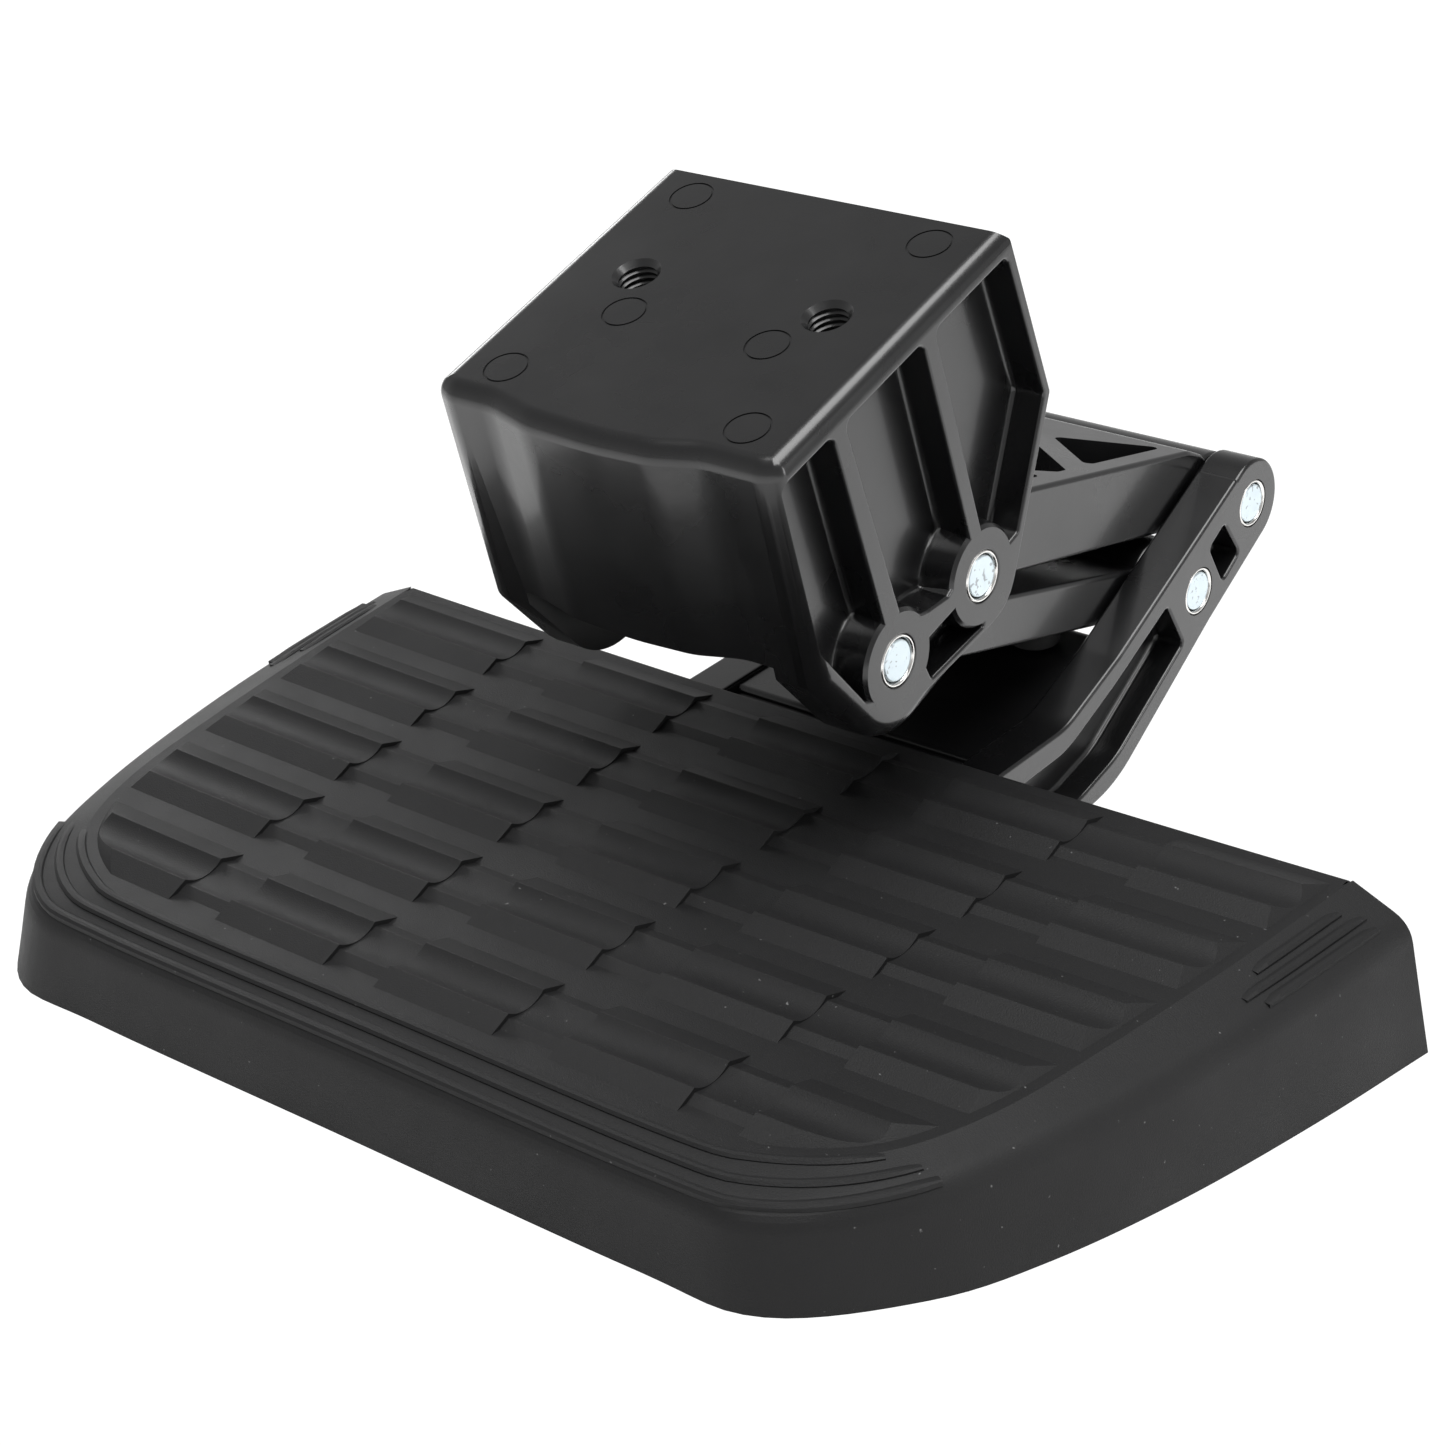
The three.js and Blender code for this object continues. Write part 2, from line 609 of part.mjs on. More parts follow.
function coverSolid() {
  let body = loft(coverRings(0, 0, 0));
  body = cut(body, loft(coverRings(SKIRT_WALL, SKIN, -0.01 + SKIN)));
  body = joined(body, ...treadRows());
  for (const place of SCREW_PLACES) {
    body = body.add(rodZ(SCREW_BOSS, FRAME_TOP - FRAME_SHEET, -1, place, 12));
    body = cut(body, rodZ(SCREW_RADIUS + GAP, FRAME_TOP - FRAME_SHEET - 1, -SKIN + 0.6, place, 12));
  }
  // notch in the rear skirt for the arm
  return cut(body, block(-ARM_HALF - 1.5, ARM_HALF + 1.5, 15, 45, -60, -SKIN));
}

// ---------------------------------------------------------------- frame, fasteners, stops

function frameSolid() {
  const half = [[98, -134, 18], [137, -60, 40], [146, 24, 6]];
  const mirrored = half.map(([x, y, radius]) => [-x, y, radius]).reverse();
  const plate = rounded([...mirrored, ...half], 4);
  let body = alongZ(plate, FRAME_TOP - FRAME_SHEET, FRAME_TOP);
  for (const place of SCREW_PLACES) body = cut(body, rodZ(SCREW_BOSS + GAP, -30, 0, place, 12));
  for (const place of Object.values(BOLT_PLACES)) {
    body = cut(body, rodZ(BOLT_RADIUS + GAP, -30, 0, place, 12));
  }
  return body;
}

function railSolid(side) {
  const top = FRAME_TOP - FRAME_SHEET - 0.3;
  const [inner, outer] = [side * RAIL_X[0], side * RAIL_X[1]];
  return block(Math.min(inner, outer), Math.max(inner, outer), ...RAIL_Y, top - RAIL_HEIGHT, top);
}

function boltSolid(place) {
  const head = FOOT_BOTTOM + 2.5 - 0.3;
  return joined(
    rodZ(BOLT_HEAD, head - BOLT_HEAD_HEIGHT, head, place, 6),
    rodZ(BOLT_RADIUS, head - 1, FRAME_TOP - 0.3, place, 12),
  );
}

function screwSolid(place) {
  const head = FRAME_TOP - FRAME_SHEET - 0.3;
  return joined(
    rodZ(SCREW_HEAD, head - 2.4, head, place, 12),
    rodZ(SCREW_RADIUS, head - 1, -SKIN + 0.3, place, 12),
  );
}

function bumperSolid(side) {
  const { place } = linkFrame(HOUSING_LOWER, ARM_LOWER);
  const [y, z] = place([108, LOWER_LINK_BOTTOM]);
  const geometry = new THREE.CylinderGeometry(6, 7, z - 0.5 - 3.0, 20);
  return solid(geometry.rotateX(Math.PI / 2).translate(side * 24, y, (z - 0.5 + 3.0) / 2));
}

// ---------------------------------------------------------------- pins, sleeves, bushes, springs

function pinSolid(half, pivot, crossHoles) {
  const chamfer = 0.7;
  const section = [[-half, 0], [-half, PIN_RADIUS - chamfer], [-half + chamfer, PIN_RADIUS],
    [half - chamfer, PIN_RADIUS],
    [half, PIN_RADIUS - chamfer], [half, 0]];
  const profile = section.map(([along, radius]) => new THREE.Vector2(radius, along));
  const turned = new THREE.LatheGeometry(profile, ROUND_SIDES).rotateZ(-Math.PI / 2);
  let body = solid(turned.translate(0, ...pivot));
  for (const x of crossHoles) {
    body = cut(body, rodZ(CROSS_HOLE, pivot[1] - 10, pivot[1] + 10, [x, pivot[0]], 12));
  }
  return body;
}

function sleeveSolid(side, face, length, pivot) {
  const bore = PIN_RADIUS + GAP;
  const section = [
    [0, SLEEVE_RADIUS], [length, SLEEVE_RADIUS], [length, bore], [0.7, bore], [0, bore + 0.55],
  ];
  return turnedX(section, side * face, -side, pivot);
}

function bushSolid(side, radius, bore, pivot) {
  const section = [
    [0, bore], [0, BUSH_FLANGE_RADIUS], [BUSH_FLANGE, BUSH_FLANGE_RADIUS],
    [BUSH_FLANGE, radius], [BUSH_LENGTH, radius], [BUSH_LENGTH, bore],
  ];
  return turnedX(section, side * (LINK_HALF + BUSH_FLANGE + 0.1), -side, pivot);
}

// A torsion spring round the housing's lower pin. Its inner end turns in to the pin's cross hole,
// its outer end runs straight on into the link's seat.
function springSolid(side, [y0, z0]) {
  const points = [];
  const stepsPerTurn = 10;
  const start = SPRING_SLOT - 1.5 - SPRING_TURNS * SPRING_PITCH;
  points.push([start, 0, 2.5], [start, 0, 6]);
  for (let i = 1; i <= SPRING_TURNS * stepsPerTurn; i += 1) {
    const angle = 2 * Math.PI * i / stepsPerTurn;
    const along = start + SPRING_PITCH * i / stepsPerTurn;
    points.push([along, SPRING_RADIUS * Math.sin(angle), SPRING_RADIUS * Math.cos(angle)]);
  }
  const [x, y, z] = points.at(-1);
  points.push([x + 2, y, z], [x + SPRING_SEAT, y, z]);
  const spots = points.map((p) => new THREE.Vector3(side * p[0], p[1] + y0, p[2] + z0));
  const path = new THREE.CatmullRomCurve3(spots);
  const wire = new THREE.Shape(arc([0, 0], SPRING_WIRE, 0, 288, 4).map((p) => new THREE.Vector2(...p)));
  const options = { steps: points.length, extrudePath: path, bevelEnabled: false };
  return solid(new THREE.ExtrudeGeometry(wire, options));
}

// ---------------------------------------------------------------- assembly

const SIDES = { left: -1, right: 1 };

function buildStep() {
  const tread = new THREE.Group();
  tread.rotation.x = STAND_TILT;
  const housing = new THREE.Group();
  housing.rotation.x = HOUSING_TILT;
  housing.position.z = HOUSING_TOP;
  tread.add(housing);

  housing.add(named('mount_housing', housingSolid(), 'castBlack'));
  tread.add(named('upper_link', upperLinkSolid(), 'castBlack'));
  tread.add(named('lower_link', lowerLinkSolid(), 'castBlack'));
  tread.add(named('swing_arm', armSolid(), 'castBlack'));
  tread.add(named('tread_cover', coverSolid(), 'treadPlastic'));
  tread.add(named('step_frame', frameSolid(), 'frameSteel'));
  for (const [sideName, side] of Object.entries(SIDES)) {
    tread.add(named(`frame_rail_${sideName}`, railSolid(side), 'frameSteel'));
  }

  const springStart = SPRING_SLOT - 1.5 - SPRING_TURNS * SPRING_PITCH;
  const pivots = {
    housing_upper: {
      at: HOUSING_UPPER, half: HOUSING_HALF - 0.3, sleeve: HOUSING_HALF - 0.1, depth: 13.5, holes: [],
    },
    housing_lower: {
      at: HOUSING_LOWER, half: HOUSING_HALF - 0.3, sleeve: HOUSING_HALF - 0.1, depth: 13.5,
      holes: [-springStart, springStart],
    },
    arm_upper: { at: ARM_UPPER, half: ARM_HALF - 0.3, sleeve: ARM_HALF - 0.1, depth: 12.5, holes: [] },
    arm_lower: { at: ARM_LOWER, half: ARM_HALF - 0.3, sleeve: ARM_HALF - 0.1, depth: 12.5, holes: [] },
  };
  for (const [name, pivot] of Object.entries(pivots)) {
    tread.add(named(`${name}_pin`, pinSolid(pivot.half, pivot.at, pivot.holes), 'zincSteel'));
    for (const [sideName, side] of Object.entries(SIDES)) {
      const sleeve = sleeveSolid(side, pivot.sleeve, pivot.depth, pivot.at);
      tread.add(named(`${name}_sleeve_${sideName}`, sleeve, 'polishedSteel'));
      const open = name === 'arm_upper';
      const radius = open ? OPEN_BUSH_RADIUS : LINK_BUSH_RADIUS;
      const bore = open ? OPEN_BUSH_BORE : PIN_RADIUS + GAP;
      tread.add(named(`${name}_bush_${sideName}`, bushSolid(side, radius, bore, pivot.at), 'bushPolymer'));
    }
  }
  for (const [sideName, side] of Object.entries(SIDES)) {
    tread.add(named(`torsion_spring_${sideName}`, springSolid(side, HOUSING_LOWER), 'springSteel'));
    tread.add(named(`stow_bumper_${sideName}`, bumperSolid(side), 'rubber'));
  }
  for (const [name, place] of Object.entries(BOLT_PLACES)) {
    tread.add(named(`foot_bolt_${name}`, boltSolid(place), 'zincSteel'));
  }
  SCREW_PLACES.forEach((place, i) => {
    tread.add(named(`cover_screw_${i + 1}`, screwSolid(place), 'zincSteel'));
  });

  // stand the step on its rim, over the middle of its own footprint
  const step = new THREE.Group();
  step.add(tread);
  step.updateMatrixWorld(true);
  const box = new THREE.Box3().setFromObject(step, true);
  tread.position.set(0, -(box.min.y + box.max.y) / 2, -box.min.z);
  return step;
}

export default buildStep();
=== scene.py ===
"""Looks for a retractable tailgate step: cast housing, links and goose-neck arm, moulded tread.

Pieces are modelled in millimetres in the frame of the part they belong to, then placed in the
model's frame in metres. The tread frame has its origin on the tread's surface, and the housing
frame has its origin in the middle of the housing's top.
"""

import json
import math

import bmesh
import bpy
from mathutils import Matrix, Vector


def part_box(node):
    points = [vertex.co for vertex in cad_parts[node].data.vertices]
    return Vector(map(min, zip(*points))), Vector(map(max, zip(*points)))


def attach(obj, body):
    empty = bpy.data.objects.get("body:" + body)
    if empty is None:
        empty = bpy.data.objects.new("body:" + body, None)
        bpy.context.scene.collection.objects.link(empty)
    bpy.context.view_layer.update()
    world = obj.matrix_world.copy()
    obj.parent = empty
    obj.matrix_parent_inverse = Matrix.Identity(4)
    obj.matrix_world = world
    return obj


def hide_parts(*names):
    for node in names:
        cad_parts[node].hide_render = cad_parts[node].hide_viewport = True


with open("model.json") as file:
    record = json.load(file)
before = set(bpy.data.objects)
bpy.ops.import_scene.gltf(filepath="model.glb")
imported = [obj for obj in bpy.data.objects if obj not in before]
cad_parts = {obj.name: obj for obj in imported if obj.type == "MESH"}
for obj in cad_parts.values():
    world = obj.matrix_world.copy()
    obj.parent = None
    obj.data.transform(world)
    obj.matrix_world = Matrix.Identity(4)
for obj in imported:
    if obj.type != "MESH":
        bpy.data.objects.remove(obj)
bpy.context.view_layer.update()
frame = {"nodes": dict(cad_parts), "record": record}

bl_info = {
    "name": "Tailgate step",
    "version": (1, 0, 0),
    "blender": (4, 5, 0),
    "location": "View3D > Sidebar > Step",
    "description": "Models and finishes a retractable tailgate step round its packed frame",
    "category": "Object",
}

# --- frames and pivots

MM = 0.001
RECORD = frame["record"]
MOUNTS = {mount["name"]: mount for mount in RECORD["mounts"]}
JOINTS = {joint["name"]: joint for joint in RECORD["behaviour"]["joints"]}
TREAD_MOUNT_Y = -39.15     # where the record's tread face lies along the tread, in millimetres


def mount_frame(name, y=0.0):
    """A frame in millimetres whose Z leaves the mount's face and whose origin is y before it."""
    axis = MOUNTS[name]["axis"]
    turn = Matrix.Rotation(math.atan2(-axis[1], axis[2]), 4, "X")
    place = Matrix.Translation(Vector(MOUNTS[name]["pos_m"]))
    return place @ turn @ Matrix.Scale(MM, 4) @ Matrix.Translation((0.0, -y, 0.0))


TREAD = mount_frame("tread_face", TREAD_MOUNT_Y)
HOUSING = mount_frame("housing_top")


def in_frame(matrix, point):
    """The (y, z) of a model point, in millimetres in another frame."""
    local = matrix.inverted() @ Vector(point)
    return (local.y, local.z)


def node_centre(node):
    low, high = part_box(node)
    return (Vector(low) + Vector(high)) / 2.0


PIVOTS = {
    "housing_upper": Vector(JOINTS["upper_link_swing"]["pos_m"]),
    "housing_lower": Vector(JOINTS["lower_link_swing"]["pos_m"]),
    "arm_upper": node_centre("arm_upper_pin"),
    "arm_lower": Vector(JOINTS["arm_swing"]["pos_m"]),
}
AT_TREAD = {name: in_frame(TREAD, point) for name, point in PIVOTS.items()}
AT_HOUSING = {name: in_frame(HOUSING, point) for name, point in PIVOTS.items()}
SIDES = {"left": -1, "right": 1}
BOLTS = [f"foot_bolt_{end}_{side}" for end in ("front", "rear") for side in SIDES]
SCREWS = [f"cover_screw_{number}" for number in range(1, 7)]

# --- sizes, millimetres

PIN_RADIUS = 5.5
PIN_CHAMFER = 0.5
PIN_RECESS = 0.3            # pin ends and sleeves stand this far inside the faces
SLEEVE_RECESS = 0.1
SLEEVE_RADIUS = 6.85
HOUSING_SLEEVE = 13.5       # lengths of the sleeves
ARM_SLEEVE = 12.5
BORE = 0.15                 # clearance round a pressed part
CUTTER_FILLET = 1.6         # pockets' floors
CUTTER_MOUTH = 0.9          # pockets' rounded mouths
ARC_STEPS = 6               # straight pieces in an outline's rounded corner
SOFT_ANGLE = 40.0           # edges sharper than this are rounded, in degrees
SMOOTH_ANGLE = 32.0         # and edges blunter than this are shaded smooth
COVER_SMOOTH_ANGLE = 11.0

HOUSING_HALF = 54.0
HOUSING_INNER = 40.0
HOUSING_EDGE = 4.8          # rounding of the top's front and side edges
FRONT_FLANK = 55.0          # front wall's flanks, before the swell in its middle
FRONT_SWELL = 3.4
FRONT_LEAN = 0.079
FRONT_CORNER = 10.0         # the front's upright corners turn in two steps
FRONT_EDGE = 3.5
FRONT_WALL_HALF = 42.0
FRONT_WALL_END = -60.0
REAR_WALL_END = -46.0
ROOF = 8.0
CHEEK_DEPTH = 9.5
BOSS_RADIUS = 15.3
BOSS_KEPT = 13.6
HOLE_X = 30.0
HOLE_RADIUS = 5.1
HOLE_DEPTH = 22.0
HOLE_BOSS = 11.0
THREAD_PITCH = 1.75
THREAD_DEPTH = 0.85
COUNTERSINK = 1.5
EJECTOR_MARKS = ((37.6, 33.2), (22.5, -14.5), (37.9, -43.3))
EJECTOR_RADIUS = 5.95

LINK_HALF = 39.0
LINK_WALL = 7.0
LINK_FLOOR = 5.0
LINK_EDGE = 1.4
EYE_RADIUS = 12.0
LINK_BUSH_RADIUS = 7.4
OPEN_BUSH_RADIUS = 9.7
OPEN_BUSH_BORE = 8.5
BUSH_LENGTH = 12.0
BUSH_FLANGE_RADIUS = 10.0
BUSH_FLANGE = 0.7
SPRING_RADIUS = 9.4
SPRING_WIRE = 1.3
SPRING_TURNS = 5
SPRING_PITCH = 3.2
SPRING_SLOT = 23.0
SPRING_SLOT_RADIUS = 14.5
SPRING_SEAT = 5.0

ARM_HALF = 53.1
ARM_INNER = 40.0
ARM_END_RADIUS = 13.0
ARM_POCKET = 9.0

ROWS = 5
ROW_PITCH = 33.3
ROW_FRONT = -2.3            # front foot of the rearmost row of bars
FRONT_RIDGE = 6.4           # distance of a bar's two ridges from that foot
REAR_RIDGE = 18.8
REAR_SLOPE = 7.4
BAR_MARGIN = 3.2            # bars stop this far inside the plateau's edge
BAR_END = 3.6               # and their ends slope in by this much
WIDEST_ROW = 165.0
BAR_SPACING = 63.5          # of the high bars in the rearmost row; each row's is closer than the last
BAR_SPACING_STEP = 2.0
BAR_LENGTH = 41.0
BAR_LENGTH_STEP = 0.7
BAR_START = 27.0            # the end of each row's middle bar
RIDGE_RADIUS = 0.12
ROW_BOW = 2.3               # rows curve towards the vehicle at their ends, measured at x = 150
SKIN = 2.6
SKIRT_WALL = 3.0
RIM_FRONT = -25.3
SCREW_BOSS = 4.2
SCREW_BORE = 2.05
BOLT_BORE = 4.15
BUMPER_RADIUS = 6.9
BUMPER_CROWN = 1.0          # width and depth of a rubber stop's lowered rim
COVER_FRONT = -160.0

# --- outlines


def arc(centre, radius, start, sweep, steps):
    """Points (y, z) on an arc; angles in radians."""
    angles = [start + sweep * i / steps for i in range(steps + 1)]
    return [(centre[0] + radius * math.cos(a), centre[1] + radius * math.sin(a)) for a in angles]


def rounded(corners, steps=ARC_STEPS):
    """An outline function for a polygon of (y, z, radius) corners; outline(grow) is offset by grow."""
    count = len(corners)
    spots = [Vector(corner[:2]) for corner in corners]
    area = sum(spots[i].cross(spots[(i + 1) % count]) for i in range(count))

    def outline(grow):
        points = []
        for i, spot in enumerate(spots):
            radius = corners[i][2] if len(corners[i]) > 2 else 0.0
            before = (spots[i - 1] - spot).normalized()
            after = (spots[(i + 1) % count] - spot).normalized()
            bisector = (before + after).normalized()
            half = before.angle(after) / 2.0
            outer = 1.0 if before.cross(after) * area < 0.0 else -1.0
            radius = max(radius + outer * grow, 0.03)
            moved = spot - bisector * (outer * grow / math.sin(half))
            centre = moved + bisector * (radius / math.sin(half))
            reach = radius / math.tan(half)
            first = moved + before * reach - centre
            last = moved + after * reach - centre
            start = math.atan2(first.y, first.x)
            sweep = math.atan2(first.cross(last), first.dot(last))
            points += arc(centre, radius, start, sweep, steps)
        return points

    return outline


def belt(discs):
    """An outline function for a belt laid round (y, z, radius) discs."""
    rim = []
    for y, z, radius in discs:
        for degree in range(0, 360, 6):
            way = (math.cos(math.radians(degree)), math.sin(math.radians(degree)))
            rim.append((y + radius * way[0], z + radius * way[1], way))
    rim.sort(key=lambda p: (p[0], p[1]))

    def chain(points):
        kept = []
        for p in points:
            while len(kept) > 1:
                (ay, az, _), (by, bz, _) = kept[-2], kept[-1]
                if (by - ay) * (p[1] - az) - (bz - az) * (p[0] - ay) > 1e-6:
                    break
                kept.pop()
            kept.append(p)
        return kept[:-1]

    hull = chain(rim) + chain(rim[::-1])
    return lambda grow: [(y + grow * way[0], z + grow * way[1]) for y, z, way in hull]


def smooth_path(points, count):
    """Evenly spaced points on a smooth curve through the given (x, y) points."""
    ends = [2 * Vector(points[0]) - Vector(points[1]), 2 * Vector(points[-1]) - Vector(points[-2])]
    knots = [ends[0]] + [Vector(p) for p in points] + [ends[1]]
    fine = []
    for i in range(1, len(knots) - 2):
        a, b, c, d = knots[i - 1:i + 3]
        for k in range(24):
            t = k / 24.0
            fine.append(0.5 * (2 * b + (c - a) * t + (2 * a - 5 * b + 4 * c - d) * t ** 2
                               + (3 * b - a - 3 * c + d) * t ** 3))
    fine.append(knots[-2])
    lengths = [0.0]
    for p, q in zip(fine, fine[1:]):
        lengths.append(lengths[-1] + (q - p).length)
    spread = []
    index = 0
    for i in range(count):
        target = lengths[-1] * i / (count - 1)
        while index < len(lengths) - 2 and lengths[index + 1] < target:
            index += 1
        part = (target - lengths[index]) / max(lengths[index + 1] - lengths[index], 1e-9)
        spread.append(fine[index].lerp(fine[index + 1], min(part, 1.0)))
    return spread


# --- modelling


def deselect_all():
    for piece in bpy.context.selected_objects:
        piece.select_set(False)


def choose(*pieces):
    """Selects only these pieces and makes the first one active."""
    deselect_all()
    for piece in pieces:
        piece.select_set(True)
    bpy.context.view_layer.objects.active = pieces[0]


def edit_all(piece, *operators):
    """Runs edit-mode operators on the whole of a piece."""
    choose(piece)
    bpy.ops.object.mode_set(mode="EDIT")
    bpy.ops.mesh.select_all(action="SELECT")
    for operator, values in operators:
        operator(**values)
    bpy.ops.object.mode_set(mode="OBJECT")
    return piece


def loft(name, rings):
    """A solid through rings of points, made by extruding the first ring's face ring by ring."""
    deselect_all()
    bpy.ops.mesh.primitive_circle_add(vertices=len(rings[0]), radius=1.0, fill_type="NGON")
    piece = bpy.context.object
    piece.name = name
    for vertex, place in zip(piece.data.vertices, rings[0]):
        vertex.co = place
    bpy.ops.object.mode_set(mode="EDIT")
    last = list(range(len(rings[0])))
    for ring in rings[1:]:
        bpy.ops.mesh.extrude_region_move()
        mesh = bmesh.from_edit_mesh(piece.data)
        mesh.verts.ensure_lookup_table()
        following = []
        for index in last:
            vertex = mesh.verts[index]
            partner = next(e.other_vert(vertex) for e in vertex.link_edges if e.other_vert(vertex).select
                           and e.other_vert(vertex).index not in last)
            following.append(partner)
        for vertex, place in zip(following, ring):
            vertex.co = place
        last = [vertex.index for vertex in following]
        bmesh.update_edit_mesh(piece.data)
    bpy.ops.object.mode_set(mode="OBJECT")
    return edit_all(piece, (bpy.ops.mesh.normals_make_consistent, {"inside": False}))


def quarter_turn(steps):
    """Angles from 0 to a right angle, in radians."""
    return [math.pi / 2 * i / steps for i in range(steps + 1)]


def rounded_stations(x0, x1, radius):
    """(x, grow) stations of a bar along X whose two end edges are rounded."""
    start = [(x0 + radius * (1 - math.cos(a)), -radius * (1 - math.sin(a))) for a in quarter_turn(5)]
    return start + [(x0 + x1 - x, grow) for x, grow in reversed(start)]


def across(name, outline, x0, x1, edge=0.0):
    """An outline in (y, z) carried along X, with rounded ends."""
    stations = rounded_stations(x0, x1, edge) if edge else [(x0, 0.0), (x1, 0.0)]
    return loft(name, [[(x, y, z) for y, z in outline(grow)] for x, grow in stations])


def pocket(outline, face, depth, side):
    """A cutter for a pocket in a face at X = face: filleted floor, rounded mouth."""
    floor, mouth, turns = CUTTER_FILLET, CUTTER_MOUTH, quarter_turn(4)
    stations = [(face - depth + floor * (1 - math.cos(a)), -floor * (1 - math.sin(a))) for a in turns]
    stations += [(face - mouth + mouth * math.sin(a), mouth * (1 - math.cos(a))) for a in turns]
    stations.append((face + 2.0, mouth))
    return loft("cutter", [[(side * x, y, z) for y, z in outline(grow)] for x, grow in stations])


def well(outline, bottom, top, floor=1.2):
    """A cutter for a well with an (x, y) outline, from bottom to top; floor is its floor's fillet."""
    stations = [(bottom + floor * (1 - math.cos(a)), -floor * (1 - math.sin(a))) for a in quarter_turn(3)]
    stations.append((top, 0.0))
    return loft("cutter", [[(x, y, z) for x, y in outline(grow)] for z, grow in stations])


def rod(name, radius, x0, x1, centre, axis="X", vertices=64):
    """A cylinder along X at (y, z), or along Z at (x, y)."""
    deselect_all()
    middle = (x0 + x1) / 2.0
    place = (middle, *centre) if axis == "X" else (*centre, middle)
    turn = (0.0, math.pi / 2, 0.0) if axis == "X" else (0.0, 0.0, 0.0)
    bpy.ops.mesh.primitive_cylinder_add(
        vertices=vertices, radius=radius, depth=x1 - x0, location=place, rotation=turn)
    bpy.ops.object.transform_apply(location=True, rotation=True, scale=True)
    bpy.context.object.name = name
    return bpy.context.object


def cube(x0, x1, y0, y1, z0, z1):
    deselect_all()
    bpy.ops.mesh.primitive_cube_add(size=1.0, location=((x0 + x1) / 2, (y0 + y1) / 2, (z0 + z1) / 2),
                                    scale=(x1 - x0, y1 - y0, z1 - z0))
    bpy.ops.object.transform_apply(location=True, rotation=True, scale=True)
    return bpy.context.object


def turned(name, profile, centre):
    """A ring turned about an X axis at (y, z) from a closed profile of (x, radius) points."""
    deselect_all()
    bpy.ops.mesh.primitive_circle_add(vertices=len(profile), radius=1.0, fill_type="NOTHING")
    piece = bpy.context.object
    piece.name = name
    for vertex, (x, radius) in zip(piece.data.vertices, profile):
        vertex.co = (x, centre[0], centre[1] + radius)
    edit_all(piece, (bpy.ops.mesh.spin, {"steps": 64, "angle": 2 * math.pi, "axis": (1.0, 0.0, 0.0),
                                         "center": (0.0, *centre)}))
    return edit_all(piece, (bpy.ops.mesh.remove_doubles, {"threshold": 0.001}),
                    (bpy.ops.mesh.normals_make_consistent, {"inside": False}))


def modify(piece, kind, **values):
    """Gives a piece a modifier with these values, and applies it."""
    modifier = piece.modifiers.new(kind.lower(), kind)
    for name, value in values.items():
        setattr(modifier, name, value)
    choose(piece)
    bpy.ops.object.modifier_apply(modifier=modifier.name)
    return piece


def boolean(body, tools, operation):
    """Joins, cuts or trims a body by tools, which are used up."""
    for tool in tools:
        modify(body, "BOOLEAN", operation=operation, object=tool, solver="MANIFOLD")
        bpy.data.objects.remove(tool)
    return body


def cut(body, *tools):
    return boolean(body, tools, "DIFFERENCE")


def add(body, *tools):
    return boolean(body, tools, "UNION")


def soften(piece, width):
    """Rounds every sharp edge."""
    edit_all(piece, (bpy.ops.mesh.remove_doubles, {"threshold": 0.01}),
             (bpy.ops.mesh.dissolve_limited, {"angle_limit": math.radians(0.5)}))
    return modify(piece, "BEVEL", width=width, segments=2, limit_method="ANGLE",
                  angle_limit=math.radians(SOFT_ANGLE), use_clamp_overlap=False, miter_outer="MITER_ARC")


def finish_with(piece, material):
    piece.data.materials.clear()
    piece.data.materials.append(bpy.data.materials[material])


def place(piece, name, matrix, material, body, nodes, smooth=SMOOTH_ANGLE):
    """Puts a finished piece in the model's frame, on its body, for the nodes that it stands for."""
    piece.name = name
    piece.data.name = name
    choose(piece)
    piece.matrix_world = matrix
    bpy.ops.object.transform_apply(location=True, rotation=True, scale=True)
    bpy.ops.object.shade_smooth_by_angle(angle=math.radians(smooth))
    modify(piece, "WEIGHTED_NORMAL", keep_sharp=True)
    finish_with(piece, material)
    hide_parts(*nodes)
    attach(piece, body)


def keep(node, material):
    """A CAD node that stays as it is and takes a finish."""
    finish_with(frame["nodes"][node], material)


# --- finishes

COAT_ROUGHNESS = 0.12
SPECK_SHARPNESS = 22.0


def add_node(tree, kind, group="", **values):
    """A node with its inputs set; a space in an input's name is written as an underscore."""
    node = tree.nodes.new(kind)
    if group:
        node.node_tree = bpy.data.node_groups[group]
    for name, value in values.items():
        node.inputs[name.replace("_", " ")].default_value = value
    return node


def connect(tree, *joins):
    """Links nodes; each join is a node, its output, the next node and its input."""
    for giver, output, taker, entry in joins:
        tree.links.new(giver.outputs[output], taker.inputs[entry])


def new_group(name, values, outputs):
    """A node group that takes a Vector and named values, with its input and output nodes."""
    group = bpy.data.node_groups.new(name, "ShaderNodeTree")
    group.interface.new_socket(name="Vector", in_out="INPUT", socket_type="NodeSocketVector")
    for socket_name, value in values.items():
        socket = group.interface.new_socket(name=socket_name, in_out="INPUT", socket_type="NodeSocketFloat")
        socket.default_value = value
    for socket_name in outputs:
        group.interface.new_socket(name=socket_name, in_out="OUTPUT", socket_type="NodeSocketFloat")
    return group, group.nodes.new("NodeGroupInput"), group.nodes.new("NodeGroupOutput")


